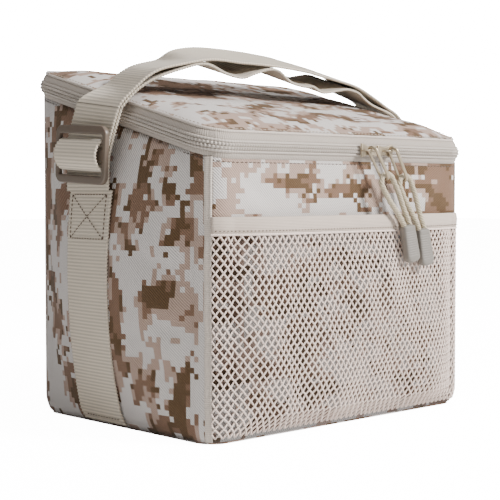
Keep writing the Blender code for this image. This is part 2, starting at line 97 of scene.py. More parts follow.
INNER_LEG_X = 0.1572
OUTER_LEG_X = 0.1600
LEFT_LEG_LEAN = 0.0065
LEFT_TWIST = 0.5
RIGHT_TWIST = 1.2
SHOULDER_SHEAR = 0.013
SHOULDER_END_X = -0.0700
TWIST_START_X = -0.1000
TWIST_END_X = -0.0400
GLIDE_HEIGHT = 0.2010
GLIDE_X = 0.1634
RING_HEIGHT = 0.1920
RING_X = 0.1612
RING_WRAP = 0.0050
SLIDERS_MEET_X = 0.0245
SLIDER_PITCH = 0.0181
BAIL_OFFSET = 0.0027
BAIL_HALF = 0.0056
END_UPRIGHT = 0.75
END_DROP = 0.0028
BAIL_Y = -DEPTH / 2 - 0.0115
PULL_LEAN = {"left": math.radians(30), "right": math.radians(24)}
PULL_TILT = math.radians(6)
CORD_RADIUS = 0.0021
CORD_BEND = 0.0065
CORD_TOP = -0.0214
TAB_HALF = 0.0040
TAB_WIRE = 0.0012
TAB_TOP = 0.0026
TAB_BOTTOM = -0.0250
CORD_FOOT = -0.0620

SEAM_ANGLE = math.radians(44.1)
PANELS = {
    "left": (Vector((-1, 0, 0)), WIDTH / 2, DEPTH / 2),
    "front": (Vector((0, -1, 0)), DEPTH / 2, WIDTH / 2),
    "right": (Vector((1, 0, 0)), WIDTH / 2, DEPTH / 2),
    "back": (Vector((0, 1, 0)), DEPTH / 2, WIDTH / 2),
}


# Materials


class Graph:
    """A material's node tree, built a node at a time."""

    def __init__(self, name, roughness, sheen=0.0, metallic=0.0, coat=0.0):
        self.material = bpy.data.materials.new(name)
        self.material.use_nodes = True
        self.tree = self.material.node_tree
        self.shader = self.tree.nodes["Principled BSDF"]
        self.shader.inputs["Roughness"].default_value = roughness
        self.shader.inputs["Metallic"].default_value = metallic
        self.shader.inputs["Sheen Weight"].default_value = sheen
        self.shader.inputs["Coat Weight"].default_value = coat
        self.shader.inputs["Specular IOR Level"].default_value = 0.35

    def add(self, kind, **inputs):
        node = self.tree.nodes.new(kind)
        for key, value in inputs.items():
            if hasattr(node, key):
                setattr(node, key, value)
            else:
                self.put(node.inputs[key.replace("_", " ")], value)
        return node

    def put(self, socket, value):
        if isinstance(value, bpy.types.NodeSocket):
            self.tree.links.new(value, socket)
        else:
            socket.default_value = value

    def uv(self):
        return self.add("ShaderNodeTexCoord").outputs["UV"]

    def place(self):
        return self.add("ShaderNodeTexCoord").outputs["Object"]

    def math(self, operation, a, b=0.0):
        node = self.add("ShaderNodeMath", operation=operation)
        self.put(node.inputs[0], a)
        self.put(node.inputs[1], b)
        return node.outputs[0]

    def vector(self, operation, a, b):
        node = self.add("ShaderNodeVectorMath", operation=operation)
        self.put(node.inputs[0], a)
        self.put(node.inputs[1], b)
        return node.outputs[0]

    def noise(self, vector, scale, detail=2.0, roughness=0.5):
        node = self.add("ShaderNodeTexNoise", Vector=vector, Scale=scale, Detail=detail, Roughness=roughness)
        return node.outputs["Fac"]

    def wave(self, vector, pitch, direction):
        """Straight bands of a given pitch in metres, along an axis or across the diagonal."""
        stretch = 2 * math.pi / 20 if direction != "DIAGONAL" else 2 * math.pi / 10 / math.sqrt(2)
        node = self.add("ShaderNodeTexWave", bands_direction=direction, Vector=vector, Scale=stretch / pitch)
        return node.outputs["Fac"]

    def mix(self, factor, a, b, blend="MIX"):
        node = self.add("ShaderNodeMix", data_type="RGBA", blend_type=blend)
        self.put(node.inputs["Factor"], factor)
        self.put(node.inputs["A"], a)
        self.put(node.inputs["B"], b)
        return node.outputs["Result"]

    def tone(self, colour, amount):
        grey = self.add("ShaderNodeCombineColor", Red=amount, Green=amount, Blue=amount).outputs[0]
        return self.mix(1.0, colour, grey, "MULTIPLY")

    def bump(self, height, strength, distance, below=None):
        node = self.add("ShaderNodeBump", Height=height, Strength=strength, Distance=distance)
        if below is not None:
            self.put(node.inputs["Normal"], below)
        return node.outputs["Normal"]

    def finish(self, colour, normal=None, roughness=None):
        self.put(self.shader.inputs["Base Color"], colour)
        if normal is not None:
            self.put(self.shader.inputs["Normal"], normal)
        if roughness is not None:
            self.put(self.shader.inputs["Roughness"], roughness)
        return self.material


def rgb(red, green, blue):
    """A colour given as 0 to 255 display values, as the shader's linear values."""
    linear = []
    for value in (red, green, blue):
        share = value / 255
        linear.append(share / 12.92 if share <= 0.04045 else ((share + 0.055) / 1.055) ** 2.4)
    return (*linear, 1)


def shade(colour, factor):
    return (*(value * factor for value in colour[:3]), 1)


CAMO_CELL = (0.0040, 0.0036, 0.0040)
SAND = rgb(196, 189, 184)
TAN = rgb(160, 136, 122)
BROWN = rgb(114, 86, 66)
EARTH = rgb(84, 60, 32)
TWILL_PITCH = 0.0015
CAMO_JITTER = 0.05
# How much darker the front cloth is painted below the pocket's top, as the net's shadow
PAINTED_NET_SHADOW = 0.50


def camo_material(name="camo_twill", coordinate="UV", paint_net_shadow=False):
    """Four colours of square cells on a steep twill, from noise read once per cell."""
    g = Graph(name, 0.82, sheen=0.08)
    where = g.uv() if coordinate == "UV" else g.place()
    cell = g.vector("SNAP", where, CAMO_CELL)
    stretched = g.vector("MULTIPLY", cell, (0.72, 1.25, 1.0))
    jitter = g.add("ShaderNodeTexWhiteNoise", Vector=cell).outputs["Value"]
    ragged = g.math("MULTIPLY", g.math("SUBTRACT", jitter, 0.5), CAMO_JITTER)

    def field(offset, scale):
        moved = g.vector("ADD", stretched, offset)
        return g.math("ADD", g.noise(moved, scale, 3.0, 0.55), ragged)

    broad = field((3.1, 1.7, 0.4), 34)
    middling = field((7.7, 5.2, 2.9), 46)
    small = field((1.3, 9.6, 6.1), 50)
    blend = g.math("ADD", g.math("MULTIPLY", broad, 0.6), g.math("MULTIPLY", middling, 0.4))
    colour = g.mix(g.math("GREATER_THAN", blend, 0.484), SAND, TAN)
    colour = g.mix(g.math("GREATER_THAN", broad, 0.522), colour, BROWN)
    dark = g.math("MULTIPLY", g.math("GREATER_THAN", small, 0.535), g.math("GREATER_THAN", broad, 0.505))
    colour = g.mix(dark, colour, EARTH)
    colour = g.mix(g.math("GREATER_THAN", field((4.4, 2.2, 8.8), 64), 0.640), colour, SAND)
    twill = g.wave(where, TWILL_PITCH, "DIAGONAL")
    fade = g.math("ADD", g.math("MULTIPLY", g.noise(where, 14, 3), 0.16), 0.92)
    # Painted shade: the twill's grooves are darkened in colour as well as bumped
    thread = g.math("ADD", g.math("MULTIPLY", twill, 0.56), 0.62)
    tone = g.math("MULTIPLY", fade, thread)
    # Painted shadow of the net: below the pocket's top the cloth's tone is cut by this share
    if paint_net_shadow:
        height = g.add("ShaderNodeSeparateXYZ", Vector=g.place()).outputs["Z"]
        under = g.math("LESS_THAN", height, POCKET_HIGH)
        tone = g.math("MULTIPLY", tone, g.math("SUBTRACT", 1, g.math("MULTIPLY", under, PAINTED_NET_SHADOW)))
    colour = g.tone(colour, tone)
    slub = g.noise(where, 900, 2)
    normal = g.bump(twill, 0.6, 0.0005, g.bump(slub, 0.25, 0.0003))
    return g.finish(colour, normal)


def woven_material(name, colour, pitch, direction="Y", groove_shade=0.20, roughness=0.85, sheen=0.15):
    """A ribbed narrow fabric: ribs at a pitch with painted shade in the grooves between them, fine threads
    across them and a little soiling.
    """
    g = Graph(name, roughness, sheen=sheen)
    where = g.uv()
    rib = g.wave(where, pitch, direction)
    thread = g.wave(where, 0.0007, "X" if direction == "Y" else "Y")
    soil = g.noise(where, 40, 3)
    # Painted shade: the grooves between the ribs are darkened in colour
    tone = g.math("ADD", g.math("MULTIPLY", rib, groove_shade), 1 - groove_shade)
    tone = g.math("MULTIPLY", tone, g.math("ADD", g.math("MULTIPLY", thread, 0.08), 0.94))
    tone = g.math("MULTIPLY", tone, g.math("ADD", g.math("MULTIPLY", soil, 0.14), 0.93))
    shaded = g.tone(colour, tone)
    normal = g.bump(rib, 0.5, 0.0004, g.bump(thread, 0.3, 0.0002))
    return g.finish(shaded, normal)


def plastic_material(name, colour, roughness, grain=900, lift=0.12):
    """Moulded plastic with a fine grain and slightly worn, paler patches."""
    g = Graph(name, roughness)
    where = g.place()
    wear = g.noise(where, 120, 4, 0.6)
    shaded = g.mix(g.math("MULTIPLY", wear, 0.5), colour, shade(colour, 1 + 2 * lift))
    normal = g.bump(g.noise(where, grain, 3), 0.12, 0.0002)
    rough = g.math("ADD", g.math("MULTIPLY", wear, 0.15), roughness - 0.07)
    return g.finish(shaded, normal, rough)


def metal_material(name, colour):
    """Lacquered die-cast metal with faint scratches."""
    g = Graph(name, 0.34, metallic=0.75)
    where = g.place()
    wear = g.noise(where, 260, 4, 0.6)
    scratch = g.noise(g.vector("MULTIPLY", where, (1.0, 1.0, 9.0)), 500, 2)
    shaded = g.mix(wear, shade(colour, 0.86), shade(colour, 1.15))
    rough = g.math("ADD", g.math("MULTIPLY", scratch, 0.25), 0.24)
    return g.finish(shaded, g.bump(scratch, 0.08, 0.0001), rough)


def thread_material(name, colour, pitch):
    """Twisted or braided cord: slanting strands wound along its length, with painted shade in the grooves
    between them.
    """
    g = Graph(name, 0.8, sheen=0.2)
    where = g.uv()
    strand = g.wave(where, pitch, "DIAGONAL")
    fuzz = g.noise(g.place(), 1500, 2)
    # Painted shade: the grooves between the strands are darkened in colour
    shaded = g.mix(strand, shade(colour, 0.62), colour)
    return g.finish(shaded, g.bump(strand, 0.6, 0.0004, g.bump(fuzz, 0.3, 0.0002)))


def liner_material():
    """Coated liner cloth: satin, with a fine embossed grid and soft creases, painted darker in their hollows
    and paler on their crowns.
    """
    g = Graph("liner_cloth", 0.36, coat=0.15)
    where = g.uv()
    grid = g.math("MAXIMUM", g.wave(where, 0.0032, "X"), g.wave(where, 0.0032, "Y"))
    crease = g.noise(where, 35, 4, 0.6)
    # Painted shade: the crease noise that makes the bump also darkens the hollows
    shaded = g.mix(crease, rgb(176, 178, 180), rgb(205, 206, 207))
    rough = g.math("ADD", g.math("MULTIPLY", crease, 0.2), 0.28)
    normal = g.bump(crease, 0.5, 0.0015, g.bump(grid, 0.2, 0.0002))
    return g.finish(shaded, normal, rough)


def coil_material():
    """Moulded coil: pale crowns, and painted shade darkening the gaps between its turns near the middle."""
    g = Graph("zip_coil", 0.42)
    where = g.uv()
    turn = g.wave(where, TOOTH_PITCH, "Y")
    wear = g.noise(g.place(), 200, 3)
    # Painted shade: the gaps between the coil's turns are darkened in colour
    tone = g.math("ADD", g.math("MULTIPLY", turn, 0.30), 0.72)
    shaded = g.tone(g.mix(wear, rgb(168, 158, 148), rgb(186, 176, 165)), tone)
    return g.finish(shaded, g.bump(wear, 0.1, 0.0002))


def foam_material():
    g = Graph("closed_cell_foam", 0.9)
    where = g.place()
    cells = g.add("ShaderNodeTexVoronoi", Vector=where, Scale=900.0).outputs["Distance"]
    shaded = g.mix(g.noise(where, 60, 3), rgb(222, 222, 216), rgb(238, 238, 234))
    return g.finish(shaded, g.bump(cells, 0.4, 0.0004))


def board_material():
    g = Graph("stiffener_board", 0.6)
    where = g.place()
    shaded = g.mix(g.noise(where, 80, 4), rgb(44, 44, 46), rgb(62, 62, 64))
    return g.finish(shaded, g.bump(g.noise(where, 500, 3), 0.2, 0.0003))


TOOTH_PITCH = 0.0024

MATERIALS = {
    "camo": camo_material(),
    "camo_net_shadowed": camo_material("camo_twill_front_net_shadowed", "UV", True),
    "camo_flat": camo_material("camo_twill_base", "Object"),
    "tape": woven_material("zip_tape", rgb(168, 157, 146), 0.0016, "Y", 0.22),
    "binding": woven_material("elastic_binding", rgb(190, 174, 160), 0.0011, "Y", 0.14),
    "piping": woven_material("seam_piping", rgb(196, 184, 172), 0.0014, "Y", 0.18),
    "webbing": woven_material("ribbed_webbing", rgb(208, 195, 176), 0.0025, "Y", 0.36),
    "coil": coil_material(),
    "net": thread_material("net_strand", rgb(244, 222, 208), 0.0012),
    "stitch": thread_material("stitch_thread", rgb(178, 160, 140), 0.0008),
    "dark_stitch": thread_material("dark_stitch_thread", rgb(84, 66, 50), 0.0008),
    "cord": thread_material("pull_cord", rgb(186, 172, 146), 0.0016),
    "buckle": plastic_material("moulded_buckle", rgb(92, 80, 69), 0.36, 700),
    "ending": plastic_material("cord_end", rgb(112, 107, 100), 0.5, 800),
    "metal": metal_material("slider_metal", rgb(168, 154, 132)),
    "liner": liner_material(),
    "foam": foam_material(),
    "board": board_material(),
}


# The plan of the bag, as in the frame


def spread(low, high, steps):
    return [low + (high - low) * step / steps for step in range(steps + 1)]


def along(normal):
    return Vector((-normal.y, normal.x, 0))


def stations(panel, straight_steps, corner_steps=6, first_corner=True, last_corner=True):
    reach = PANELS[panel][2] - RADIUS
    angles = spread(0, SEAM_ANGLE, corner_steps)[1:]
    found = [(panel, s, 0) for s in spread(-reach, reach, straight_steps)]
    if first_corner:
        found = [(panel, -reach, -angle) for angle in reversed(angles)] + found
    if last_corner:
        found += [(panel, reach, angle) for angle in angles]
    return found


def plan_point(station, inset):
    panel, distance, angle = station
    normal, half_depth, half_length = PANELS[panel]
    radius = max(RADIUS - inset, 0.002)
    reach = half_length - RADIUS
    inner_reach = half_length - inset - radius
    centre = normal * (half_depth - inset - radius) + along(normal) * (distance / reach * inner_reach)
    return centre + radius * (normal * math.cos(angle) + along(normal) * math.sin(angle))


def plan_length(station):
    """The cloth's length from the middle of the panel to a station."""
    return station[1] + RADIUS * station[2]


def zip_height(y):
    return FRONT_ZIP + SLOPE * (y + DEPTH / 2)


def smooth(share):
    share = min(1, max(0, share))
    return share * share * (3 - 2 * share)


def bulge(station, z, y):
    panel, distance, angle = station
    reach = PANELS[panel][2] - RADIUS
    across = 1 - abs(distance / reach) ** 2.5
    rise = min(1, max(0, z / (zip_height(y) - BAND_BELOW)))
    return 0 if angle else BULGE[panel] * across * max(0, math.sin(math.pi * rise)) ** 0.7


def wall_point(station, z, inset):
    tuck = TUCK * max(0, 1 - z / TUCK_HEIGHT) ** 2
    point = plan_point(station, inset + tuck)
    return point + PANELS[station[0]][0] * bulge(station, z, point.y) + Vector((0, 0, z))


def band_point(station, offset, inset):
    height = zip_height(plan_point(station, max(0, inset)).y) + offset
    return plan_point(station, inset) + Vector((0, 0, height))


# Creases deepen by this share. Dents stop at the padding behind them and ridges under the webbing
CREASE_DEPTH = 1.3
DENT_LIMIT = 0.0018
RIDGE_LIMIT = 0.0016
# Creases: each is a line on a panel, from one (along, height) to another, with a depth and a width
CREASES = {
    "left": (
        ((-0.060, 0.185), (0.010, 0.120), 0.0022, 0.008),
        ((0.030, 0.075), (0.085, 0.025), 0.0030, 0.009),
        ((0.088, 0.070), (0.055, 0.085), 0.0024, 0.007),
        ((0.085, 0.105), (0.030, 0.135), 0.0020, 0.008),
        ((0.088, 0.140), (0.040, 0.175), 0.0013, 0.007),
        ((-0.080, 0.090), (-0.050, 0.060), 0.0015, 0.008),
        ((0.070, 0.020), (0.030, 0.060), 0.0014, 0.008),
    ),
    "right": (
        ((-0.080, 0.080), (-0.010, 0.130), 0.0020, 0.008),
        ((0.070, 0.150), (0.020, 0.110), 0.0018, 0.008),
        ((-0.070, 0.030), (-0.030, 0.070), 0.0014, 0.008),
    ),
    "front": (
        ((-0.120, 0.190), (-0.080, 0.165), 0.0008, 0.006),
        ((-0.060, 0.192), (-0.030, 0.170), 0.0006, 0.006),
        ((0.120, 0.190), (0.095, 0.160), 0.0008, 0.006),
    ),
    "back": (
        ((-0.110, 0.200), (-0.040, 0.150), 0.0016, 0.010),
        ((0.115, 0.180), (0.050, 0.120), 0.0016, 0.010),
        ((-0.100, 0.050), (-0.020, 0.085), 0.0014, 0.010),
        ((0.100, 0.040), (0.040, 0.080), 0.0013, 0.010),
    ),
}


def crease(panel, across, z):
    """How far the cloth stands out or in at a place because of creases and slack."""
    total = 0
    for (ax, az), (bx, bz), depth, width in CREASES[panel]:
        run = Vector((bx - ax, bz - az))
        to = Vector((across - ax, z - az))
        share = to.dot(run) / run.length_squared
        away = (to - run * min(1, max(0, share))).length
        fade = smooth(1.15 - abs(share - 0.5) * 1.3)
        total -= depth * fade * math.exp(-((away / width) ** 2))
        side = (to.x * run.y - to.y * run.x) / run.length
        total += 0.6 * depth * fade * math.exp(-(((side - 1.6 * width) / width) ** 2))
    soft = noise.noise(Vector((across * 22, z * 22, len(panel) * 3.7)))
    return total + 0.0011 * soft


# Mesh building


def grid_mesh(columns, rows, place, uv):
    """A grid placed by column and row, with its cloth's own measure as the UV map."""
    bm = bmesh.new()
    last_column = len(columns) - 1
    last_row = len(rows) - 1
    bmesh.ops.create_grid(bm, x_segments=last_column, y_segments=last_row, size=1)
    layer = bm.loops.layers.uv.new("cloth")
    row_of = bm.verts.layers.int.new("row")
    marks = {}
    for vert in bm.verts:
        column = round((vert.co.x + 1) / 2 * last_column)
        row = round((vert.co.y + 1) / 2 * last_row)
        vert[row_of] = row
        marks[vert] = uv(columns[column], rows[row])
        vert.co = place(columns[column], rows[row])
    for face in bm.faces:
        for corner in face.loops:
            corner[layer].uv = marks[corner.vert]
    bm.normal_update()
    return bm


def add_mesh(bm, name, material, body, node_names=(), smooth_angle=50):
    mesh = bpy.data.meshes.new(name)
    bm.to_mesh(mesh)
    bm.free()
    mesh.shade_smooth()
    mesh.set_sharp_from_angle(angle=math.radians(smooth_angle))
    return add_object(name, mesh, material, body, node_names)


def add_object(name, data, material, body, node_names=()):
    obj = bpy.data.objects.new(name, data)
    bpy.context.scene.collection.objects.link(obj)
    data.materials.append(MATERIALS[material])
    if body:
        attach(obj, body)
    if node_names:
        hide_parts(*node_names)
    return obj


def solidify(obj, thickness, offset=-1):
    modifier = obj.modifiers.new("Thickness", "SOLIDIFY")
    modifier.thickness = thickness
    modifier.offset = offset
    return obj


def sweep_mesh(path, section, uv_scale=1.0):
    """A closed bar: a closed section of (across, out) carried along a path of (point, across, out) frames."""
    bm = bmesh.new()
    layer = bm.loops.layers.uv.new("cloth")
    rings = []
    run = 0
    runs = []
    for index, (point, across, out, shape) in enumerate(path):
        if index:
            run += (point - path[index - 1][0]).length
        runs.append(run)
        rings.append([bm.verts.new(point + across * a + out * o) for a, o in shape(section)])
    girth = [0]
    for a, b in zip(section, section[1:] + section[:1]):
        girth.append(girth[-1] + math.hypot(b[0] - a[0], b[1] - a[1]))
    count = len(section)
    for index in range(len(rings) - 1):
        for side in range(count):
            after = (side + 1) % count
            face = bm.faces.new(
                (rings[index][side], rings[index][after], rings[index + 1][after], rings[index + 1][side])
            )
            marks = ((side, index), (side + 1, index), (side + 1, index + 1), (side, index + 1))
            for corner, (g, r) in zip(face.loops, marks):
                corner[layer].uv = (girth[g] * uv_scale, runs[r] * uv_scale)
    bm.faces.new(list(reversed(rings[0])))
    bm.faces.new(rings[-1])
    bmesh.ops.recalc_face_normals(bm, faces=bm.faces)
    return bm


def add_tube(bm, points, radius, sides=8, closed=False, shape=None):
    """Adds a round bar along points; shape(run, angle) scales its radius."""
    layer = bm.loops.layers.uv.get("cloth") or bm.loops.layers.uv.new("cloth")
    count = len(points)
    rings = []
    side_way = None
    run = 0
    for index, point in enumerate(points):
        before = points[index - 1] if index or closed else point
        after = points[(index + 1) % count] if index < count - 1 or closed else point
        if index:
            run += (point - points[index - 1]).length
        forward = (after - before).normalized()
        side_way = forward.orthogonal() if side_way is None else side_way
        side_way = (side_way - forward * side_way.dot(forward)).normalized()
        other = forward.cross(side_way)
        ring = []
        for angle in spread(0, 2 * math.pi, sides)[:-1]:
            size = radius * (shape(run, angle) if shape else 1)
            ring.append(bm.verts.new(point + (side_way * math.cos(angle) + other * math.sin(angle)) * size))
        rings.append((ring, run))
    pairs = list(zip(rings, rings[1:]))
    if closed:
        pairs.append((rings[-1], (rings[0][0], run + (points[0] - points[-1]).length)))
    for (ring, low), (following, high) in pairs:
        for step in range(sides):
            after = (step + 1) % sides
            face = bm.faces.new((ring[step], ring[after], following[after], following[step]))
            marks = ((step, low), (step + 1, low), (step + 1, high), (step, high))
            for loop, (mark, length) in zip(face.loops, marks):
                loop[layer].uv = (2 * math.pi * radius * mark / sides, length)
    if not closed:
        bm.faces.new(list(reversed(rings[0][0])))
        bm.faces.new(rings[-1][0])


def tube(name, points, radius, sides, material, body, nodes=(), closed=False, shape=None):
    bm = bmesh.new()
    add_tube(bm, points, radius, sides, closed, shape)
    bmesh.ops.recalc_face_normals(bm, faces=bm.faces)
    return add_mesh(bm, name, material, body, nodes)


def resample(points, step):
    """Points at an even spacing along a polyline."""
    found = [points[0].copy()]
    left = step
    for a, b in zip(points, points[1:]):
        length = (b - a).length
        gone = 0
        while length - gone >= left:
            gone += left
            found.append(a.lerp(b, gone / length))
            left = step
        left -= length - gone
    found.append(points[-1].copy())
    return found


def smooth_path(points, steps):
    """A Catmull-Rom curve through points."""
    padded = [points[0], *points, points[-1]]
    found = []
    for a, b, c, d in zip(padded, padded[1:], padded[2:], padded[3:]):
        for step in range(steps):
            t = step / steps
            found.append(
                tuple(
                    0.5
                    * (
                        2 * q
                        + (r - p) * t
                        + (2 * p - 5 * q + 4 * r - s) * t**2
                        + (3 * q - p - 3 * r + s) * t**3
                    )
                    for p, q, r, s in zip(a, b, c, d)
                )
            )
    return [*found, points[-1]]


def stitches(name, points, out, length, gap, radius, material, body):
    """A row of short stitches along a polyline; out(point) is the way the cloth faces."""
    even = resample(points, length + gap)
    bm = bmesh.new()
    layer = bm.loops.layers.uv.new("cloth")
    for a, b in zip(even, even[1:]):
        if (b - a).length < length:
            continue
        direction = (b - a).normalized()
        middle = a + direction * (length / 2)
        turn = direction.to_track_quat("Z", "Y").to_matrix().to_4x4()
        matrix = Matrix.Translation(middle + out(middle) * radius * 0.4) @ turn
        made = bmesh.ops.create_uvsphere(
            bm,
            u_segments=6,
            v_segments=5,
            radius=1,
            matrix=matrix @ Matrix.Diagonal((radius, radius, length / 2, 1)),
        )
        for vert in made["verts"]:
            for corner in vert.link_loops:
                corner[layer].uv = (0, vert.co.dot(direction))
    return add_mesh(bm, name, material, body)


def outward(normal):
    return lambda point: normal


# Shell


def make_walls():
    for panel, (normal, _, _) in PANELS.items():

        def place(station, share, panel=panel, normal=normal):
            top = zip_height(plan_point(station, 0).y) + WALL_TOP
            z = WALL_FOOT + (top - WALL_FOOT) * share
            point = wall_point(station, z, 0)
            if station[2]:
                return point
            reach = PANELS[panel][2] - RADIUS
            hold = smooth((reach - abs(station[1])) / 0.02)
            hold *= smooth((1 - share) / 0.12) * smooth(share / 0.10)
            relief = CREASE_DEPTH * crease(panel, station[1], z) * hold
            return point + normal * min(RIDGE_LIMIT, max(-DENT_LIMIT, relief))

        offset = {"left": 0, "front": 0.32, "right": 0.71, "back": 1.13}[panel]

        def uv(station, share, offset=offset, turned=panel in ("left", "right")):
            height = share * (zip_height(plan_point(station, 0).y) + WALL_TOP)
            across = plan_length(station) + offset
            return (height + offset, across) if turned else (across, height)

        steps = round((PANELS[panel][2] - RADIUS) * 2 / 0.004)
        bm = grid_mesh(stations(panel, steps), spread(0, 1, 56), place, uv)
        # The front cloth carries the net's painted shadow below the pocket
        material = "camo_net_shadowed" if panel == "front" else "camo"
        cloth = add_mesh(bm, f"{panel}_cloth", material, "bag", (f"{panel}_panel",))
        solidify(cloth, PANEL)


def seam_corners():
    """A bound seam down each corner: a flat strip with a bead along its edge."""
    ends = {"left": "front_left", "front": "front_right", "right": "back_right", "back": "back_left"}
    for panel, name in ends.items():
        reach = PANELS[panel][2] - RADIUS
        top = zip_height(plan_point((panel, reach, SEAM_ANGLE), 0).y) + WALL_TOP
        strips = (
            ("strip", math.radians(39), flat_section(0.0023, 0.0005)),
            ("bead", math.radians(45.5), flat_section(0.0010, 0.0010)),
        )
        for part, angle, section in strips:
            station = (panel, reach, angle)
            out = station_normal(station)
            across = along(out)
            path = []
            for z in spread(WALL_FOOT, top, 90):
                wobble = 0.0005 * noise.noise(Vector((z * 60, reach * 90, 0)))
                path.append((wall_point(station, z, -0.0002) + across * wobble, across, out, lambda s: s))
            add_mesh(sweep_mesh(path, section), f"{name}_{part}", "piping", "bag")


def flat_section(half_width, half_thickness):
    return [(half_width * math.cos(a), half_thickness * math.sin(a)) for a in spread(0, 2 * math.pi, 10)[:-1]]


# Zip


def coil_profile(tooth):
    """Half of the coil band as (height, stand-out), from the middle outwards; tooth is 0 to 1."""
    crest = 0.0011 * tooth
    return [
        (-0.0002, 0.0004),
        (0.0004, 0.0010 + crest),
        (0.0012, 0.0014 + crest),
        (0.0020, 0.0011 + crest),
        (0.0025, 0.0005 + 0.3 * crest),
        (0.0028, 0.0012),
        (0.0034, 0.0016),
        (0.0040, 0.0012),
        (0.0046, 0.0004),
        (0.0046, -0.0008),
        (-0.0002, -0.0008),
    ]


def band_path(pitch):
    """Evenly spaced (station, distance) round the left side, the front and the right side."""
    reach_side = DEPTH / 2 - RADIUS
    reach_front = WIDTH / 2 - RADIUS
    corner = RADIUS * math.pi / 4
    stretches = (
        ("left", -reach_side, -reach_side, -math.pi / 4, 0),
        ("left", -reach_side, reach_side, 0, 0),
        ("left", reach_side, reach_side, 0, math.pi / 4),
        ("front", -reach_front, -reach_front, -math.pi / 4, 0),
        ("front", -reach_front, reach_front, 0, 0),
        ("front", reach_front, reach_front, 0, math.pi / 4),
        ("right", -reach_side, -reach_side, -math.pi / 4, 0),
        ("right", -reach_side, reach_side, 0, 0),
        ("right", reach_side, reach_side, 0, math.pi / 4),
    )
    found = []
    run = 0
    for panel, start, end, turn_start, turn_end in stretches:
        length = abs(end - start) or corner
        steps = max(1, round(length / pitch))
        for step in range(steps):
            share = step / steps
            station = (panel, start + (end - start) * share, turn_start + (turn_end - turn_start) * share)
            found.append((station, run + length * share))
        run += length
    found.append((("right", reach_side, math.pi / 4), run))
    return found


COIL_SEAT = 0.0014


def station_normal(station):
    panel, _, angle = station
    normal = PANELS[panel][0]
    return normal * math.cos(angle) + along(normal) * math.sin(angle)


def make_coils():
    for name, sign, body in (("body", -1, "bag"), ("lid", 1, "lid")):
        path = []
        for station, run in band_path(TOOTH_PITCH / 5):
            tooth = 0.5 + 0.5 * math.cos(2 * math.pi * run / TOOTH_PITCH + (math.pi if sign > 0 else 0))

            def shape(_, tooth=tooth, sign=sign):
                return [(sign * h, o) for h, o in coil_profile(tooth)]

            place = band_point(station, 0, -COIL_SEAT)
            path.append((place, Vector((0, 0, 1)), station_normal(station), shape))
        bm = sweep_mesh(path, [(sign * h, o) for h, o in coil_profile(1)])
        add_mesh(bm, f"{name}_coil", "coil", body, (f"{name}_zip_coil",), smooth_angle=70)


ZIP_SIDES = (
    ("body", -1, 0.0006, BAND_BELOW + 0.0010, "bag"),
    ("lid", 1, LID_INSET, BAND_ABOVE + 0.0004, "lid"),
)


def make_tapes():
    """Each tape swells a little between the coil and its seam."""
    for name, sign, rim_inset, rim, body in ZIP_SIDES:

        def place(station, share, sign=sign, rim_inset=rim_inset, rim=rim):
            offset = sign * (0.0044 + (rim - 0.0044) * share)
            inset = -COIL_SEAT + (rim_inset + COIL_SEAT) * share - 0.0006 * math.sin(math.pi * share)
            ripple = 0.0003 * noise.noise(Vector((plan_length(station) * 70, sign, len(station[0]))))
            return band_point(station, offset, inset + ripple * math.sin(math.pi * share))

        def uv(station, share):
            return (share * 0.008, plan_length(station))

        columns = stations("left", 50) + stations("front", 80)[1:] + stations("right", 50)[1:]
        rows = spread(0, 1, 6)
        rows = rows if sign > 0 else [share for share in reversed(rows)]
        bm = grid_mesh(columns, rows, place, uv)
        bmesh.ops.remove_doubles(bm, verts=bm.verts, dist=1e-6)
        tape = add_mesh(bm, f"{name}_tape", "tape", body, (f"{name}_zip_tape",))
        solidify(tape, 0.0010)


def make_hinge():
    """One strip of cloth across the back, joining the body and the lid."""

    def place(station, offset):
        inset = LID_INSET * max(0, offset) / BAND_ABOVE - 0.0004 * math.cos(offset / BAND_ABOVE * math.pi / 2)
        return band_point(station, offset, inset)

    def uv(station, offset):
        return (plan_length(station) + 2.2, offset)

    bm = grid_mesh(stations("back", 60), spread(-BAND_BELOW, BAND_ABOVE + 0.0004, 16), place, uv)
    nodes = ("body_hinge_gusset", "lid_hinge_gusset")
    hinge = add_mesh(bm, "hinge_cloth", "camo", None, nodes)
    solidify(hinge, PANEL)
    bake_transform(hinge)


# Lid


def lid_place(u, v, inset, rise):
    """A point of the lid from a square's (u, v), each from -1 to 1; rise is its crown above the edge."""
    half = (WIDTH / 2 - inset, DEPTH / 2 - inset)
    radius = max(RADIUS - inset, 0.003)
    place = []
    over = []
    for share, size in zip((u, v), half):
        place.append(share * size)
        over.append(max(0, abs(share * size) - (size - radius)) / radius)
    a, b = over
    if a > 0 and b > 0:
        round_a = a * math.sqrt(1 - b * b / 2)
        round_b = b * math.sqrt(1 - a * a / 2)
        place[0] = math.copysign(half[0] - radius + round_a * radius, u)
        place[1] = math.copysign(half[1] - radius + round_b * radius, v)
    reach = [1 - (1 - min(1, (size - abs(p)) / LID_REACH)) ** 2 for size, p in zip(half, place)]
    x, y = place
    return Vector((x, y, zip_height(y))), rise * reach[0] * reach[1]


def graded(count, bias):
    """Shares from -1 to 1, closer together near both ends."""
    return [math.copysign(1 - (1 - abs(t)) ** bias, t) for t in spread(-1, 1, count)]


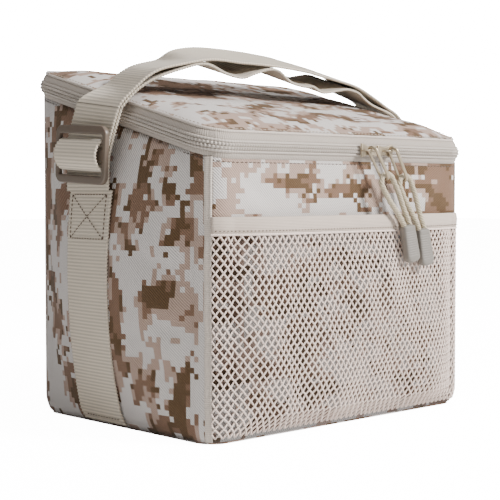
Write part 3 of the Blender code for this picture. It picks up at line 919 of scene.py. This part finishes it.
def make_lid():
    def top(u, v):
        point, crown = lid_place(u, v, LID_INSET, LID_CROWN)
        edge = smooth(crown / (0.4 * LID_CROWN))
        soft = noise.noise(Vector((point.x * 16, point.y * 24, 5.1)))
        fine = noise.noise(Vector((point.x * 46, point.y * 60, 1.7)))
        slack = edge * (0.0016 * soft + 0.0005 * fine)
        return point + Vector((0, 0, LID_EDGE + crown + slack))

    def uv(u, v):
        point, _ = lid_place(u, v, LID_INSET, 0)
        return (point.x + 3.4, point.y / math.cos(SLOPE_ANGLE) + 0.5)

    bm = grid_mesh(graded(84, 1.5), graded(60, 1.5), top, uv)
    skin = add_mesh(bm, "lid_cloth", "camo", "lid", ("lid_panel",))
    solidify(skin, PANEL)

    def under(u, v):
        point, crown = lid_place(u, -v, 0.0022, 0.0016)
        soft = noise.noise(Vector((point.x * 26, point.y * 26, 9.1)))
        return point + Vector((0, 0, 0.0052 - crown + 0.0007 * soft * min(1, crown / 0.0008)))

    bm = grid_mesh(graded(60, 1.5), graded(44, 1.5), under, uv)
    lining = add_mesh(bm, "lid_lining", "liner", "lid", ("lid_liner",))
    solidify(lining, 0.0008)
    seam_rim()


def full_loop(straight_front, straight_side):
    columns = []
    for panel in PANELS:
        steps = straight_side if panel in ("left", "right") else straight_front
        columns += stations(panel, steps)
    return columns


def seam_rim():
    """The piping where the lid's cloth meets its tape, right round."""
    section = [(0.0010 * math.cos(a), 0.0010 * math.sin(a)) for a in spread(0, 2 * math.pi, 8)[:-1]]
    path = []
    columns = full_loop(80, 56)
    for station in [*columns, columns[0]]:
        place = band_point(station, 0.0103, LID_INSET - 0.0001)
        path.append((place, Vector((0, 0, 1)), station_normal(station), lambda s: s))
    add_mesh(sweep_mesh(path, section), "lid_piping", "piping", "lid")


# Padding and liner


def make_liner():
    def place(station, share):
        top = zip_height(plan_point(station, LINER_INSET).y) + WALL_TOP
        z = 0.0130 + (top - 0.0130) * share
        soft = noise.noise(Vector((plan_length(station) * 20, z * 20, len(station[0]) * 2.2)))
        point = wall_point(station, z, LINER_INSET)
        hold = smooth(share / 0.15) * smooth((1 - share) / 0.1) * smooth(1 - abs(station[2]) / SEAM_ANGLE)
        return point - PANELS[station[0]][0] * (0.0008 + 0.0008 * soft) * hold

    def uv(station, share):
        return (plan_length(station) + PANELS[station[0]][1], share * 0.2)

    columns = full_loop(50, 36)
    columns.append(columns[0])
    bm = grid_mesh(columns, spread(0, 1, 30), place, uv)
    bmesh.ops.remove_doubles(bm, verts=bm.verts, dist=1e-6)
    row_of = bm.verts.layers.int["row"]
    rim = [e for e in bm.edges if e.is_boundary and all(vert[row_of] == 0 for vert in e.verts)]
    bmesh.ops.edgeloop_fill(bm, edges=rim)
    bm.faces.ensure_lookup_table()
    first = bm.faces[0]
    facing = first.normal.copy()
    bmesh.ops.recalc_face_normals(bm, faces=bm.faces)
    if first.normal.dot(facing) < 0:
        bmesh.ops.reverse_faces(bm, faces=bm.faces)
    tub = add_mesh(bm, "liner_cloth", "liner", "bag", ("liner_tub",))
    solidify(tub, 0.0006)

    def facing_place(station, share):
        """The facing that covers the padding's edge, from the tape in to the liner."""
        inset = 0.0004 + (LINER_INSET + 0.0002 - 0.0004) * share
        drop = -0.0046 - 0.0034 * smooth(share) + 0.0014 * math.sin(math.pi * share)
        return band_point(station, drop, inset)

    columns = full_loop(60, 44)
    columns.append(columns[0])
    bm = grid_mesh(columns, spread(0, 1, 8), facing_place, lambda s, share: (share * 0.012, plan_length(s)))
    bmesh.ops.remove_doubles(bm, verts=bm.verts, dist=1e-6)
    facing_cloth = add_mesh(bm, "rim_facing", "binding", "bag")
    solidify(facing_cloth, 0.0007)


# Pocket


def pocket_stand_off(station, z):
    panel, distance, angle = station
    if angle:
        return POCKET_SEAM_GAP
    across = 1 - abs(distance / (PANELS[panel][2] - RADIUS)) ** 6
    height = z / BINDING_HIGH
    closing = min(1, max(0, (z - POCKET_LOW) / 0.012))
    out = POCKET_MOUTH * math.sqrt(height) + POCKET_SAG * max(0, math.sin(math.pi * height**0.62))
    return POCKET_SEAM_GAP + across * closing * out


def front_station(across):
    """The station of the front panel at a length of cloth from its middle."""
    reach = WIDTH / 2 - RADIUS
    if abs(across) <= reach:
        return ("front", across, 0)
    return ("front", math.copysign(reach, across), math.copysign((abs(across) - reach) / RADIUS, across))


NET_HALF = WIDTH / 2 - RADIUS + RADIUS * math.radians(43.5)
NET_PITCH = (0.0054, 0.0070)


def pocket_point(across, z, inset):
    station = front_station(across)
    folds = 0
    if not station[2]:
        fade = smooth((NET_HALF - abs(across)) / 0.06) * smooth(z / 0.03) * smooth((POCKET_HIGH - z) / 0.045)
        soft = noise.noise(Vector((across * 13 + 0.4, z * 9, 4.0)))
        fold = noise.noise(Vector((across * 34 + z * 14, z * 7, 8.0)))
        folds = fade * (0.0058 * soft + 0.0038 * fold - 0.0008)
    return wall_point(station, z, -pocket_stand_off(station, z) - folds - inset)


NET_STRAND = 0.00068


def make_net():
    """Diamond net: two families of slanting strands that pass over and under each other at the knots."""
    columns = round(2 * NET_HALF / NET_PITCH[0])
    rows = round((POCKET_HIGH - POCKET_LOW) / NET_PITCH[1])
    wide = NET_HALF / columns
    tall = (POCKET_HIGH - POCKET_LOW + 0.0010) / rows / 2
    last_i = 2 * columns
    last_j = 2 * rows

    def knot(i, j, over):
        slack = 0.0012 * noise.noise(Vector((i * 0.21, j * 0.17, 2.0)))
        across = max(-NET_HALF, min(NET_HALF, -NET_HALF + i * wide + slack))
        return pocket_point(across, POCKET_LOW + j * tall + 0.5 * slack, 0.0006 + 0.00035 * over)

    bm = bmesh.new()
    for way in (1, -1):
        starts = [(0, j) for j in range(last_j + 1)]
        starts += [(i, 0 if way > 0 else last_j) for i in range(1, last_i + 1)]
        for i, j in starts:
            points = []
            while i <= last_i and 0 <= j <= last_j and (i + j) % 2:
                points.append(knot(i, j, way if i % 2 else -way))
                points.append(knot(i + 0.5, j + 0.5 * way, 0))
                i += 1
                j += way
            if len(points) > 3:
                add_tube(bm, points[:-1], NET_STRAND, 5)
    return add_mesh(bm, "net_cloth", "net", "bag", ("mesh_pocket",), smooth_angle=180)


def make_binding():
    def place(across, share):
        z = POCKET_HIGH - 0.0005 + (BINDING_HIGH - POCKET_HIGH + 0.0005) * share
        puff = 0.0006 * math.sin(math.pi * share)
        ripple = 0.0005 * noise.noise(Vector((across * 60, share, 3.0)))
        return pocket_point(across, z, 0.0014 + puff + ripple * math.sin(math.pi * share))

    def uv(across, share):
        return (across, share * 0.012)

    bm = grid_mesh(spread(-NET_HALF, NET_HALF, 150), spread(0, 1, 10), place, uv)
    band = add_mesh(bm, "pocket_elastic", "binding", "bag", ("pocket_binding",))
    solidify(band, 0.0015)
    section = [(0.0009 * math.cos(a), 0.0009 * math.sin(a)) for a in spread(0, 2 * math.pi, 8)[:-1]]
    path = []
    for across in spread(-NET_HALF, NET_HALF, 120):
        out = station_normal(front_station(across))
        path.append((pocket_point(across, POCKET_HIGH - 0.0012, 0.0011), Vector((0, 0, 1)), out, lambda s: s))
    add_mesh(sweep_mesh(path, section), "pocket_hem", "net", "bag")
    reach = NET_HALF - 0.002
    row = [pocket_point(across, POCKET_HIGH + 0.0012, 0.0021) for across in spread(-reach, reach, 200)]
    front = outward(Vector((0, -1, 0)))
    stitches("pocket_stitches", row, front, 0.0017, 0.0013, 0.00035, "dark_stitch", "bag")


# Strap


def lean(x, height):
    rise = min(1, max(0, (height - SEWN_TOP) / (ARCH_FOOT - SEWN_TOP)))
    share = smooth((x - TWIST_START_X) / (TWIST_END_X - TWIST_START_X))
    return SLOPE_ANGLE * rise * (LEFT_TWIST + (RIGHT_TWIST - LEFT_TWIST) * share)


def strap_point(x, height, across):
    curved = min(ARCH_FOOT, max(SEWN_TOP, height)) - SEWN_TOP
    drift = SLOPE * (curved**2 / (2 * (ARCH_FOOT - SEWN_TOP)) + max(0, height - ARCH_FOOT))
    turn = lean(x, height)
    shoulder = smooth((height - ARCH_FOOT) / 0.016) * smooth((SHOULDER_END_X - x) / 0.035)
    x += SHOULDER_SHEAR * shoulder * (across / WEBBING_WIDTH + 0.5)
    return Vector((x, STRAP_Y - drift + across * math.cos(turn), height + across * math.sin(turn)))


OUTER_ARCH = (
    (-OUTER_LEG_X + LEFT_LEG_LEAN, ARCH_FOOT),
    (-0.1505, 0.2420),
    (-0.1450, 0.2478),
    (-0.1389, 0.2538),
    (-0.1310, 0.2605),
    (-0.1192, 0.2663),
    (-0.0962, 0.2718),
    (-0.0678, 0.2783),
    (-0.0354, 0.2795),
    (-0.0030, 0.2790),
    (0.0291, 0.2771),
    (0.0424, 0.2754),
    (0.0678, 0.2722),
    (0.0917, 0.2683),
    (0.1136, 0.2612),
    (0.1346, 0.2533),
    (0.1470, 0.2490),
    (0.1560, 0.2440),
    (0.1595, 0.2405),
    (OUTER_LEG_X, ARCH_FOOT),
)
INNER_ARCH = (
    (-INNER_LEG_X + LEFT_LEG_LEAN, ARCH_FOOT),
    (-0.1475, 0.2415),
    (-0.1435, 0.2460),
    (-0.1385, 0.2508),
    (-0.1300, 0.2563),
    (-0.1192, 0.2612),
    (-0.1002, 0.2675),
    (-0.0785, 0.2733),
    (-0.0584, 0.2700),
    (-0.0480, 0.2688),
    (-0.0373, 0.2687),
    (-0.0261, 0.2725),
    (-0.0135, 0.2762),
    (-0.0023, 0.2757),
    (0.0085, 0.2703),
    (0.0159, 0.2673),
    (0.0311, 0.2654),
    (0.0392, 0.2659),
    (0.0504, 0.2622),
    (0.0599, 0.2627),
    (0.0700, 0.2645),
    (0.0814, 0.2658),
    (0.0943, 0.2637),
    (0.1033, 0.2593),
    (0.1158, 0.2543),
    (0.1393, 0.2487),
    (0.1490, 0.2445),
    (0.1550, 0.2405),
    (INNER_LEG_X, ARCH_FOOT),
)
KEEPER_FRONT = ((0.1605, 0.1440), (0.1592, 0.1580), (0.1578, 0.1700))
KEEPER_BACK = ((0.1642, 0.1700), (0.1628, 0.1580), (0.1630, 0.1440))
RIB_PITCH = 0.0025
RIB = 0.00022


def webbing_mesh(points, place):
    """Ribbed webbing along points of (x, height); place(point, across) gives its middle surface."""
    flat = resample([Vector((x, 0, z)) for x, z in points], RIB_PITCH / 5)
    half = WEBBING_WIDTH / 2
    shares = [-1, -0.985, -0.95, -0.92, -0.6, -0.2, 0.2, 0.6, 0.92, 0.95, 0.985, 1]
    bm = bmesh.new()
    layer = bm.loops.layers.uv.new("cloth")
    rings = []
    for index, point in enumerate(flat):
        before = flat[max(0, index - 1)]
        after = flat[min(len(flat) - 1, index + 1)]
        rib = math.cos(2 * math.pi * index / 5)
        ring = []
        for side in (1, -1):
            for share in shares if side > 0 else reversed(shares):
                wave = 0.0004 * rib if abs(share) > 0.97 else 0
                across = share * (half + wave)
                middle = place((point.x, point.z), across)
                run = place((after.x, after.z), across) - place((before.x, before.z), across)
                wide = place((point.x, point.z), across + 0.001) - middle
                out = run.cross(wide).normalized()
                edge = 0.00025 if 0.94 < abs(share) < 0.98 else 0
                thick = WEBBING / 2 - (0.0006 if abs(share) > 0.99 else 0) + edge + RIB * rib
                ring.append((bm.verts.new(middle + out * side * thick), (across, index * RIB_PITCH / 5)))
        rings.append(ring)
    count = len(rings[0])
    for a, b in zip(rings, rings[1:]):
        for side in range(count):
            after = (side + 1) % count
            corners = (a[side], a[after], b[after], b[side])
            face = bm.faces.new([corner[0] for corner in corners])
            for loop, corner in zip(face.loops, corners):
                loop[layer].uv = corner[1]
    bm.faces.new([corner[0] for corner in reversed(rings[0])])
    bm.faces.new([corner[0] for corner in rings[-1]])
    bmesh.ops.recalc_face_normals(bm, faces=bm.faces)
    return bm


def strap_place(point, across):
    return strap_point(*point, across)


def left_leg(foot_x, foot):
    """A leg that leans in from its foot to the arch."""
    return [
        (-foot_x + LEFT_LEG_LEAN * max(0, height - GLIDE_HEIGHT) / (ARCH_FOOT - GLIDE_HEIGHT), height)
        for height in spread(foot, LEG_TOP + 0.0008, 12)
    ]


def make_strap():
    for name, arch in (("outer", OUTER_ARCH), ("inner", INNER_ARCH)):
        bm = webbing_mesh(smooth_path(arch, 12), strap_place)
        title = f"{name}_strap_webbing"
        add_mesh(bm, title, "webbing", "strap", (f"strap_{name}",), smooth_angle=75)
    make_leg("left_inner_leg", left_leg(INNER_LEG_X, SEWN_TOP - 0.0015))
    make_leg("left_outer_leg", left_leg(OUTER_LEG_X, GLIDE_HEIGHT - 0.004))
    rail = 0.00975
    turn = half_turn(RING_X, RING_HEIGHT + rail, RING_WRAP, upwards=False)
    make_leg("right_strap_return", [(INNER_LEG_X, LEG_TOP + 0.0008), *turn, (OUTER_LEG_X, LEG_TOP + 0.0008)])
    turn = half_turn(RING_X, RING_HEIGHT - rail, RING_WRAP, upwards=True)
    bm = webbing_mesh(smooth_path([*KEEPER_FRONT, *turn, *KEEPER_BACK], 4), strap_place)
    add_mesh(bm, "ring_keeper_webbing", "webbing", "bag", ("ring_keeper",), smooth_angle=75)


def make_leg(name, path):
    """A stretch of strap, baked in place; on the real bag it pays out as the strap is carried back with the
    lid.
    """
    bm = webbing_mesh(path, strap_place)
    leg = add_mesh(bm, f"{name}_webbing", "webbing", None, (name,), smooth_angle=75)
    foot = strap_point(0, GLIDE_HEIGHT + 0.012, 0)
    head = strap_point(0, LEG_TOP, 0)
    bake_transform(leg)


def half_turn(x, height, radius, upwards):
    sign = 1 if upwards else -1
    return [
        (x - radius * math.cos(angle), height + sign * radius * math.sin(angle))
        for angle in spread(0, math.pi, 12)
    ]


def make_side_webbing():
    for panel, side in (("left", -1), ("right", 1)):

        def place(point, across, panel=panel, side=side):
            z = point[1]
            station = (panel, side * STRAP_Y + side * across, 0)
            return wall_point(station, z, -0.0006 - WEBBING / 2)

        heights = [(0, z) for z in spread(0.0045, SEWN_TOP - 0.0008, 60)]
        bm = webbing_mesh(heights, place)
        name = f"{panel}_side_webbing"
        add_mesh(bm, f"{panel}_sewn_webbing", "webbing", "bag", (name,), smooth_angle=75)
        make_box_stitch(panel, side)


def make_box_stitch(panel, side):
    """A stitched box with a cross, and a bar below it."""
    normal = PANELS[panel][0]
    lift = 0.0006 + WEBBING + (0.0056 if panel == "right" else 0.0002)
    low, high, half = 0.1400, 0.1720, 0.0205

    def on_cloth(across, z):
        return wall_point((panel, side * STRAP_Y + side * across, 0), z, -lift)

    lines = {
        "low": ((-half, low), (half, low)),
        "high": ((-half, high), (half, high)),
        "front": ((-half, low), (-half, high)),
        "rear": ((half, low), (half, high)),
        "rising": ((-half, low), (half, high)),
        "falling": ((half, low), (-half, high)),
        "bar": ((-half, 0.0080), (half, 0.0080)),
    }
    for line, ((ax, az), (bx, bz)) in lines.items():
        points = [on_cloth(ax + (bx - ax) * t, az + (bz - az) * t) for t in spread(0, 1, 14)]
        title = f"{panel}_{line}_stitches"
        stitches(title, points, outward(normal), 0.0024, 0.0009, 0.00038, "dark_stitch", "bag")


# Strap hardware


def rounded_rectangle(width, height, radius, steps=6):
    found = []
    for x, y, start in ((1, 1, 0), (-1, 1, 90), (-1, -1, 180), (1, -1, 270)):
        centre = (x * (width / 2 - radius), y * (height / 2 - radius))
        for angle in spread(math.radians(start), math.radians(start + 90), steps):
            found.append((centre[0] + radius * math.cos(angle), centre[1] + radius * math.sin(angle)))
    return found


def frame_curve(name, outlines, thickness, edge, matrix, material, body, nodes):
    """A flat moulded piece from outlines, the first outside and the rest holes, with rounded edges."""
    curve = bpy.data.curves.new(name, "CURVE")
    curve.dimensions = "2D"
    curve.fill_mode = "BOTH"
    curve.extrude = thickness / 2 - edge
    curve.bevel_depth = edge
    curve.bevel_resolution = 3
    curve.offset = -edge
    for outline in outlines:
        spline = curve.splines.new("POLY")
        spline.points.add(len(outline) - 1)
        spline.use_cyclic_u = True
        for place, (x, y) in zip(spline.points, outline):
            place.co = (x, y, 0, 1)
    obj = bpy.data.objects.new(name, curve)
    bpy.context.scene.collection.objects.link(obj)
    obj.matrix_world = matrix
    bpy.context.view_layer.update()
    mesh = bpy.data.meshes.new_from_object(obj.evaluated_get(bpy.context.evaluated_depsgraph_get()))
    bpy.data.objects.remove(obj)
    bm = bmesh.new()
    bm.from_mesh(mesh)
    bmesh.ops.remove_doubles(bm, verts=bm.verts, dist=1e-6)
    bmesh.ops.transform(bm, matrix=matrix, verts=bm.verts)
    made = add_mesh(bm, name, material, body, nodes, smooth_angle=35)
    return made


# The frame lies in the curve's XY plane: its X is the strap's width (Y) and its Y is up (Z)
UPRIGHT = Matrix(((0, 0, 1, 0), (1, 0, 0, 0), (0, 1, 0, 0), (0, 0, 0, 1)))


def hardware_matrix(x, height):
    return Matrix.Translation(strap_point(x, height, 0)) @ Matrix.Rotation(lean(x, height), 4, "X")


def shifted(outline, dx, dy):
    return [(x + dx, y + dy) for x, y in outline]


def make_hardware():
    place = hardware_matrix(-GLIDE_X, GLIDE_HEIGHT)
    slot = rounded_rectangle(0.0520, 0.0110, 0.0020)
    rim = rounded_rectangle(0.0600, 0.0420, 0.0065, 8)
    outlines = [rim, shifted(slot, 0, 0.0095), shifted(slot, 0, -0.0095)]
    stood = place @ UPRIGHT
    nodes = ("tri_glide",)
    frame_curve("strap_adjuster", outlines, 0.0040, 0.0010, stood, "buckle", "adjuster", nodes)
    outlines = [rounded_rectangle(0.0600, 0.0240, 0.0050, 8), rounded_rectangle(0.0520, 0.0150, 0.0025)]
    ring_place = hardware_matrix(RING_X, RING_HEIGHT)
    stood = ring_place @ UPRIGHT
    nodes = ("strap_ring",)
    frame_curve("strap_ring_frame", outlines, 0.0036, 0.0010, stood, "buckle", "bag", nodes)
    make_roll(place)


def make_roll(matrix):
    """The webbing that passes over the adjuster's centre bar."""
    roll = ((0.0010, 0.0108), (-0.0014, 0.0098), (-0.0042, 0.0070), (-0.0058, 0.0036), (-0.0064, 0.0))
    points = [*((x, -z) for x, z in roll), *reversed(roll[:-1])]

    def place(point, across):
        crown = -0.0006 * (1 - (across / 0.025) ** 2)
        return matrix @ Vector((point[0] + crown, across, point[1]))

    bm = webbing_mesh(smooth_path(points, 8), place)
    nodes = ("adjuster_roll",)
    add_mesh(bm, "adjuster_roll_webbing", "webbing", "adjuster", nodes, smooth_angle=75)


# Sliders and pulls


def make_slider(side, x, bail_x):
    """A die-cast slider: a rounded face, a back plate and an arched bail."""
    front = -DEPTH / 2 - 0.0054
    centre = Matrix.Translation((x, 0, FRONT_ZIP)) @ Matrix.Rotation(math.radians(90), 4, "X")
    sign = 1 if side == "left" else -1
    half = 0.0087
    face = []
    for share in spread(0, 1, 18):
        taper = 0.0052 - 0.0013 * smooth(1 - abs(2 * share - 1)) - 0.0012 * (share if sign > 0 else 1 - share)
        face.append((-half + 2 * half * share, taper))
    outline = [(a, b) for a, b in face] + [(a, -b) for a, b in reversed(face)]
    body = f"{side}_slider"
    plate = Matrix.Translation((0, front, 0)) @ centre
    title = f"{side}_slider_face"
    frame_curve(title, [outline], 0.0018, 0.0006, plate, "metal", body, (body,))
    back = Matrix.Translation((0, -DEPTH / 2 + 0.0014, 0)) @ centre
    frame_curve(f"{side}_slider_back", [outline], 0.0012, 0.0003, back, "metal", body, ())
    bail = []
    root = front - 0.0008
    for angle in spread(0, math.pi, 14):
        reach = math.sin(angle) ** 0.55
        stand_off = root + (BAIL_Y - root) * reach
        bail.append(Vector((bail_x - BAIL_HALF * math.cos(angle), stand_off, FRONT_ZIP)))
    tube(f"{side}_slider_bail", bail, 0.0008, 10, "metal", body)


CORD_LEG = (
    (-0.0062, -0.0380),
    (-0.0052, -0.0450),
    (-0.0040, -0.0520),
    (-0.0033, -0.0580),
    (-0.0032, CORD_FOOT),
)


def make_pull(side, pivot):
    turn = Matrix.Rotation(-PULL_LEAN[side], 4, "Y") @ Matrix.Rotation(-PULL_TILT, 4, "X")
    place = Matrix.Translation(pivot) @ turn
    upright = Matrix.Rotation(END_UPRIGHT * PULL_LEAN[side], 4, "Y")
    end_place = place @ Matrix.Translation((0, 0, CORD_FOOT - END_DROP)) @ upright
    half = TAB_HALF
    top, bottom = TAB_TOP - half, TAB_BOTTOM + half
    ring = [(half * math.cos(a), top + half * math.sin(a)) for a in spread(0, math.pi, 16)]
    ring += [(-half * math.cos(a), bottom - half * math.sin(a)) for a in spread(0, math.pi, 16)]
    points = [place @ Vector((0, y, z)) for y, z in ring]

    def flattened(run, angle):
        return 1 + 0.10 * math.cos(2 * angle)

    tab = f"{side}_tab"
    tube(f"{side}_pull_tab", points, TAB_WIRE, 12, "metal", tab, (tab,), True, flattened)
    bend = CORD_TOP - CORD_BEND
    arch = [(-CORD_BEND * math.cos(a), bend + CORD_BEND * math.sin(a)) for a in spread(0, math.pi, 16)]
    route = [*reversed(CORD_LEG), *arch, *((-x, z) for x, z in CORD_LEG)]
    line = [place @ Vector((x, 0, z)) for x, z in smooth_path(route, 6)]
    line.insert(0, end_place @ Vector((-0.0031, 0, -0.0030)))
    line.append(end_place @ Vector((0.0031, 0, -0.0030)))
    line = resample(line, 0.0004)

    def braid(run, angle):
        first = math.sin(2 * math.pi * run / 0.0044 + 2 * angle)
        second = math.sin(2 * math.pi * run / 0.0044 - 2 * angle)
        return 0.95 + 0.09 * max(first, second)

    length = sum((b - a).length for a, b in zip(line, line[1:]))
    body = f"{side}_pull"
    nodes = (f"{side}_cord",)
    cord = tube(f"{side}_pull_cord", line, CORD_RADIUS, 20, "cord", body, nodes, False, braid)
    end = make_cord_end(side, end_place)
    tuple(line[0])
    [tuple(point) for point in (*line[::4], line[-1])]


def make_cord_end(side, place):
    """A flat moulded grip with rounded shoulders, a soft point and fine ribs on its faces."""
    top = -0.0001
    length = 0.0292
    bm = bmesh.new()
    rings = []
    for share in spread(0, 1, 70):
        shoulder = min(1, math.sqrt(max(0, share) / 0.06)) if share < 0.06 else 1
        point = math.sqrt(max(0, 1 - ((share - 0.84) / 0.16) ** 2)) if share > 0.84 else 1
        size = max(0.02, min(shoulder, 0.25 + 0.75 * point))
        wide = 0.0070 * size * (0.88 + 0.12 * share)
        deep = 0.0039 * size
        ring = []
        for step in range(36):
            angle = 2 * math.pi * step / 36
            x = wide * math.copysign(abs(math.cos(angle)) ** 0.55, math.cos(angle))
            y = deep * math.copysign(abs(math.sin(angle)) ** 0.45, math.sin(angle))
            faced = smooth((abs(math.sin(angle)) - 0.55) / 0.2)
            faced *= smooth((share - 0.12) / 0.05) * smooth((0.88 - share) / 0.05)
            rib = 0.00022 * (0.5 + 0.5 * math.cos(2 * math.pi * share * length / 0.0018)) * faced
            ring.append(bm.verts.new(place @ Vector((x, y - math.copysign(rib, y), top - share * length))))
        rings.append(ring)
    for a, b in zip(rings, rings[1:]):
        for step in range(36):
            after = (step + 1) % 36
            bm.faces.new((a[step], a[after], b[after], b[step]))
    bm.faces.new(rings[0])
    bm.faces.new(list(reversed(rings[-1])))
    bmesh.ops.recalc_face_normals(bm, faces=bm.faces)
    return add_mesh(bm, f"{side}_cord_grip", "ending", f"{side}_pull", (f"{side}_cord_end",))


def make_sliders():
    for side, sign in (("left", -1), ("right", 1)):
        x = SLIDERS_MEET_X + sign * SLIDER_PITCH / 2
        bail_x = x + sign * BAIL_OFFSET
        make_slider(side, x, bail_x)
        make_pull(side, Vector((bail_x, BAIL_Y, FRONT_ZIP)))


# Stitched seams


def make_seams():
    columns = stations("left", 40) + stations("front", 60)[1:] + stations("right", 40)[1:]
    rows = (
        ("wall", WALL_TOP - 0.0022, -0.0002, 0.0030, 0.00042, "dark_stitch", "bag"),
        ("lid_tape", 0.0082, LID_INSET - 0.0011, 0.0024, 0.00034, "stitch", "lid"),
        ("lid_edge", 0.0122, LID_INSET + 0.0004, 0.0028, 0.00036, "stitch", "lid"),
    )
    for name, offset, inset, length, radius, material, body in rows:
        points = [band_point(station, offset, inset) for station in columns]
        stitches(f"{name}_stitches", points, outward(Vector()), length, 0.0010, radius, material, body)


# Nodes that keep their own shape


def finish_kept_nodes():
    kept = {"base_panel": "camo_flat", "base_board": "board", "lid_foam": "foam", "base_foam": "foam"}
    kept.update({f"{panel}_foam": "foam" for panel in PANELS})
    for node, material in kept.items():
        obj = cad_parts[node]
        for slot in obj.material_slots:
            slot.material = MATERIALS[material]


# Studio


def make_camera():
    """Stands off the front left corner, at the height of the bag."""
    data = bpy.data.cameras.new("camera")
    data.lens = 93.17
    data.sensor_width = 36
    camera = bpy.data.objects.new("camera", data)
    camera.location = (-0.721, -0.754, 0.1753)
    camera.rotation_euler = (math.radians(90 - 2.65), 0, math.radians(-43.53))
    bpy.context.scene.collection.objects.link(camera)
    bpy.context.scene.camera = camera


def area_light(name, place, target, size, power, colour=(1, 1, 1)):
    data = bpy.data.lights.new(name, "AREA")
    data.shape = "DISK"
    data.size = size
    data.energy = power
    data.color = colour
    light = bpy.data.objects.new(name, data)
    light.location = place
    light.rotation_euler = (Vector(target) - Vector(place)).to_track_quat("-Z", "Y").to_euler()
    bpy.context.scene.collection.objects.link(light)


def make_studio():
    bm = bmesh.new()
    bmesh.ops.create_grid(bm, x_segments=1, y_segments=1, size=6)
    mesh = bpy.data.meshes.new("floor")
    bm.to_mesh(mesh)
    bm.free()
    floor = bpy.data.objects.new("floor", mesh)
    floor.location.z = -0.0004
    bpy.context.scene.collection.objects.link(floor)
    g = Graph("studio_floor", 0.9)
    tone = g.noise(g.place(), 2, 2)
    mesh.materials.append(g.finish(g.mix(tone, (0.93, 0.93, 0.93, 1), (0.95, 0.95, 0.95, 1))))
    seen = g.add("ShaderNodeLightPath").outputs["Is Camera Ray"]
    g.put(g.shader.inputs["Emission Strength"], g.math("MULTIPLY", seen, FLOOR_GLOW))
    g.put(g.shader.inputs["Emission Color"], (1, 1, 1, 1))
    floor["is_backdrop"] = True
    make_world()
    area_light("key", (1.1, -2.2, 1.7), (0, 0, 0.12), 0.7, 205)
    area_light("top", (-0.3, -0.3, 2.2), (0, 0, 0.2), 1.0, 26)


FLOOR_GLOW = 14.0
SKY_FILL = 0.27
SKY_SEEN = 30


def make_world():
    """White all round, and brighter still where the camera sees it."""
    world = bpy.data.worlds.new("studio")
    world.use_nodes = True
    tree = world.node_tree
    sky = tree.nodes["Background"]
    sky.inputs["Color"].default_value = (1, 1, 1, 1)
    seen = tree.nodes.new("ShaderNodeLightPath").outputs["Is Camera Ray"]
    strength = tree.nodes.new("ShaderNodeMath")
    strength.operation = "MULTIPLY_ADD"
    strength.inputs[1].default_value = SKY_SEEN
    strength.inputs[2].default_value = SKY_FILL
    tree.links.new(seen, strength.inputs[0])
    tree.links.new(strength.outputs[0], sky.inputs["Strength"])
    bpy.context.scene.world = world


make_camera()
make_sliders()
make_walls()
seam_corners()
make_coils()
make_tapes()
make_hinge()
make_lid()
make_liner()
net = make_net()
make_binding()
make_strap()
make_side_webbing()
make_hardware()
make_seams()
finish_kept_nodes()
make_studio()

sizes = {"cad": CAD_BOX, "visual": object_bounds()}
{name: [list(corner) for corner in box] for name, box in sizes.items()}
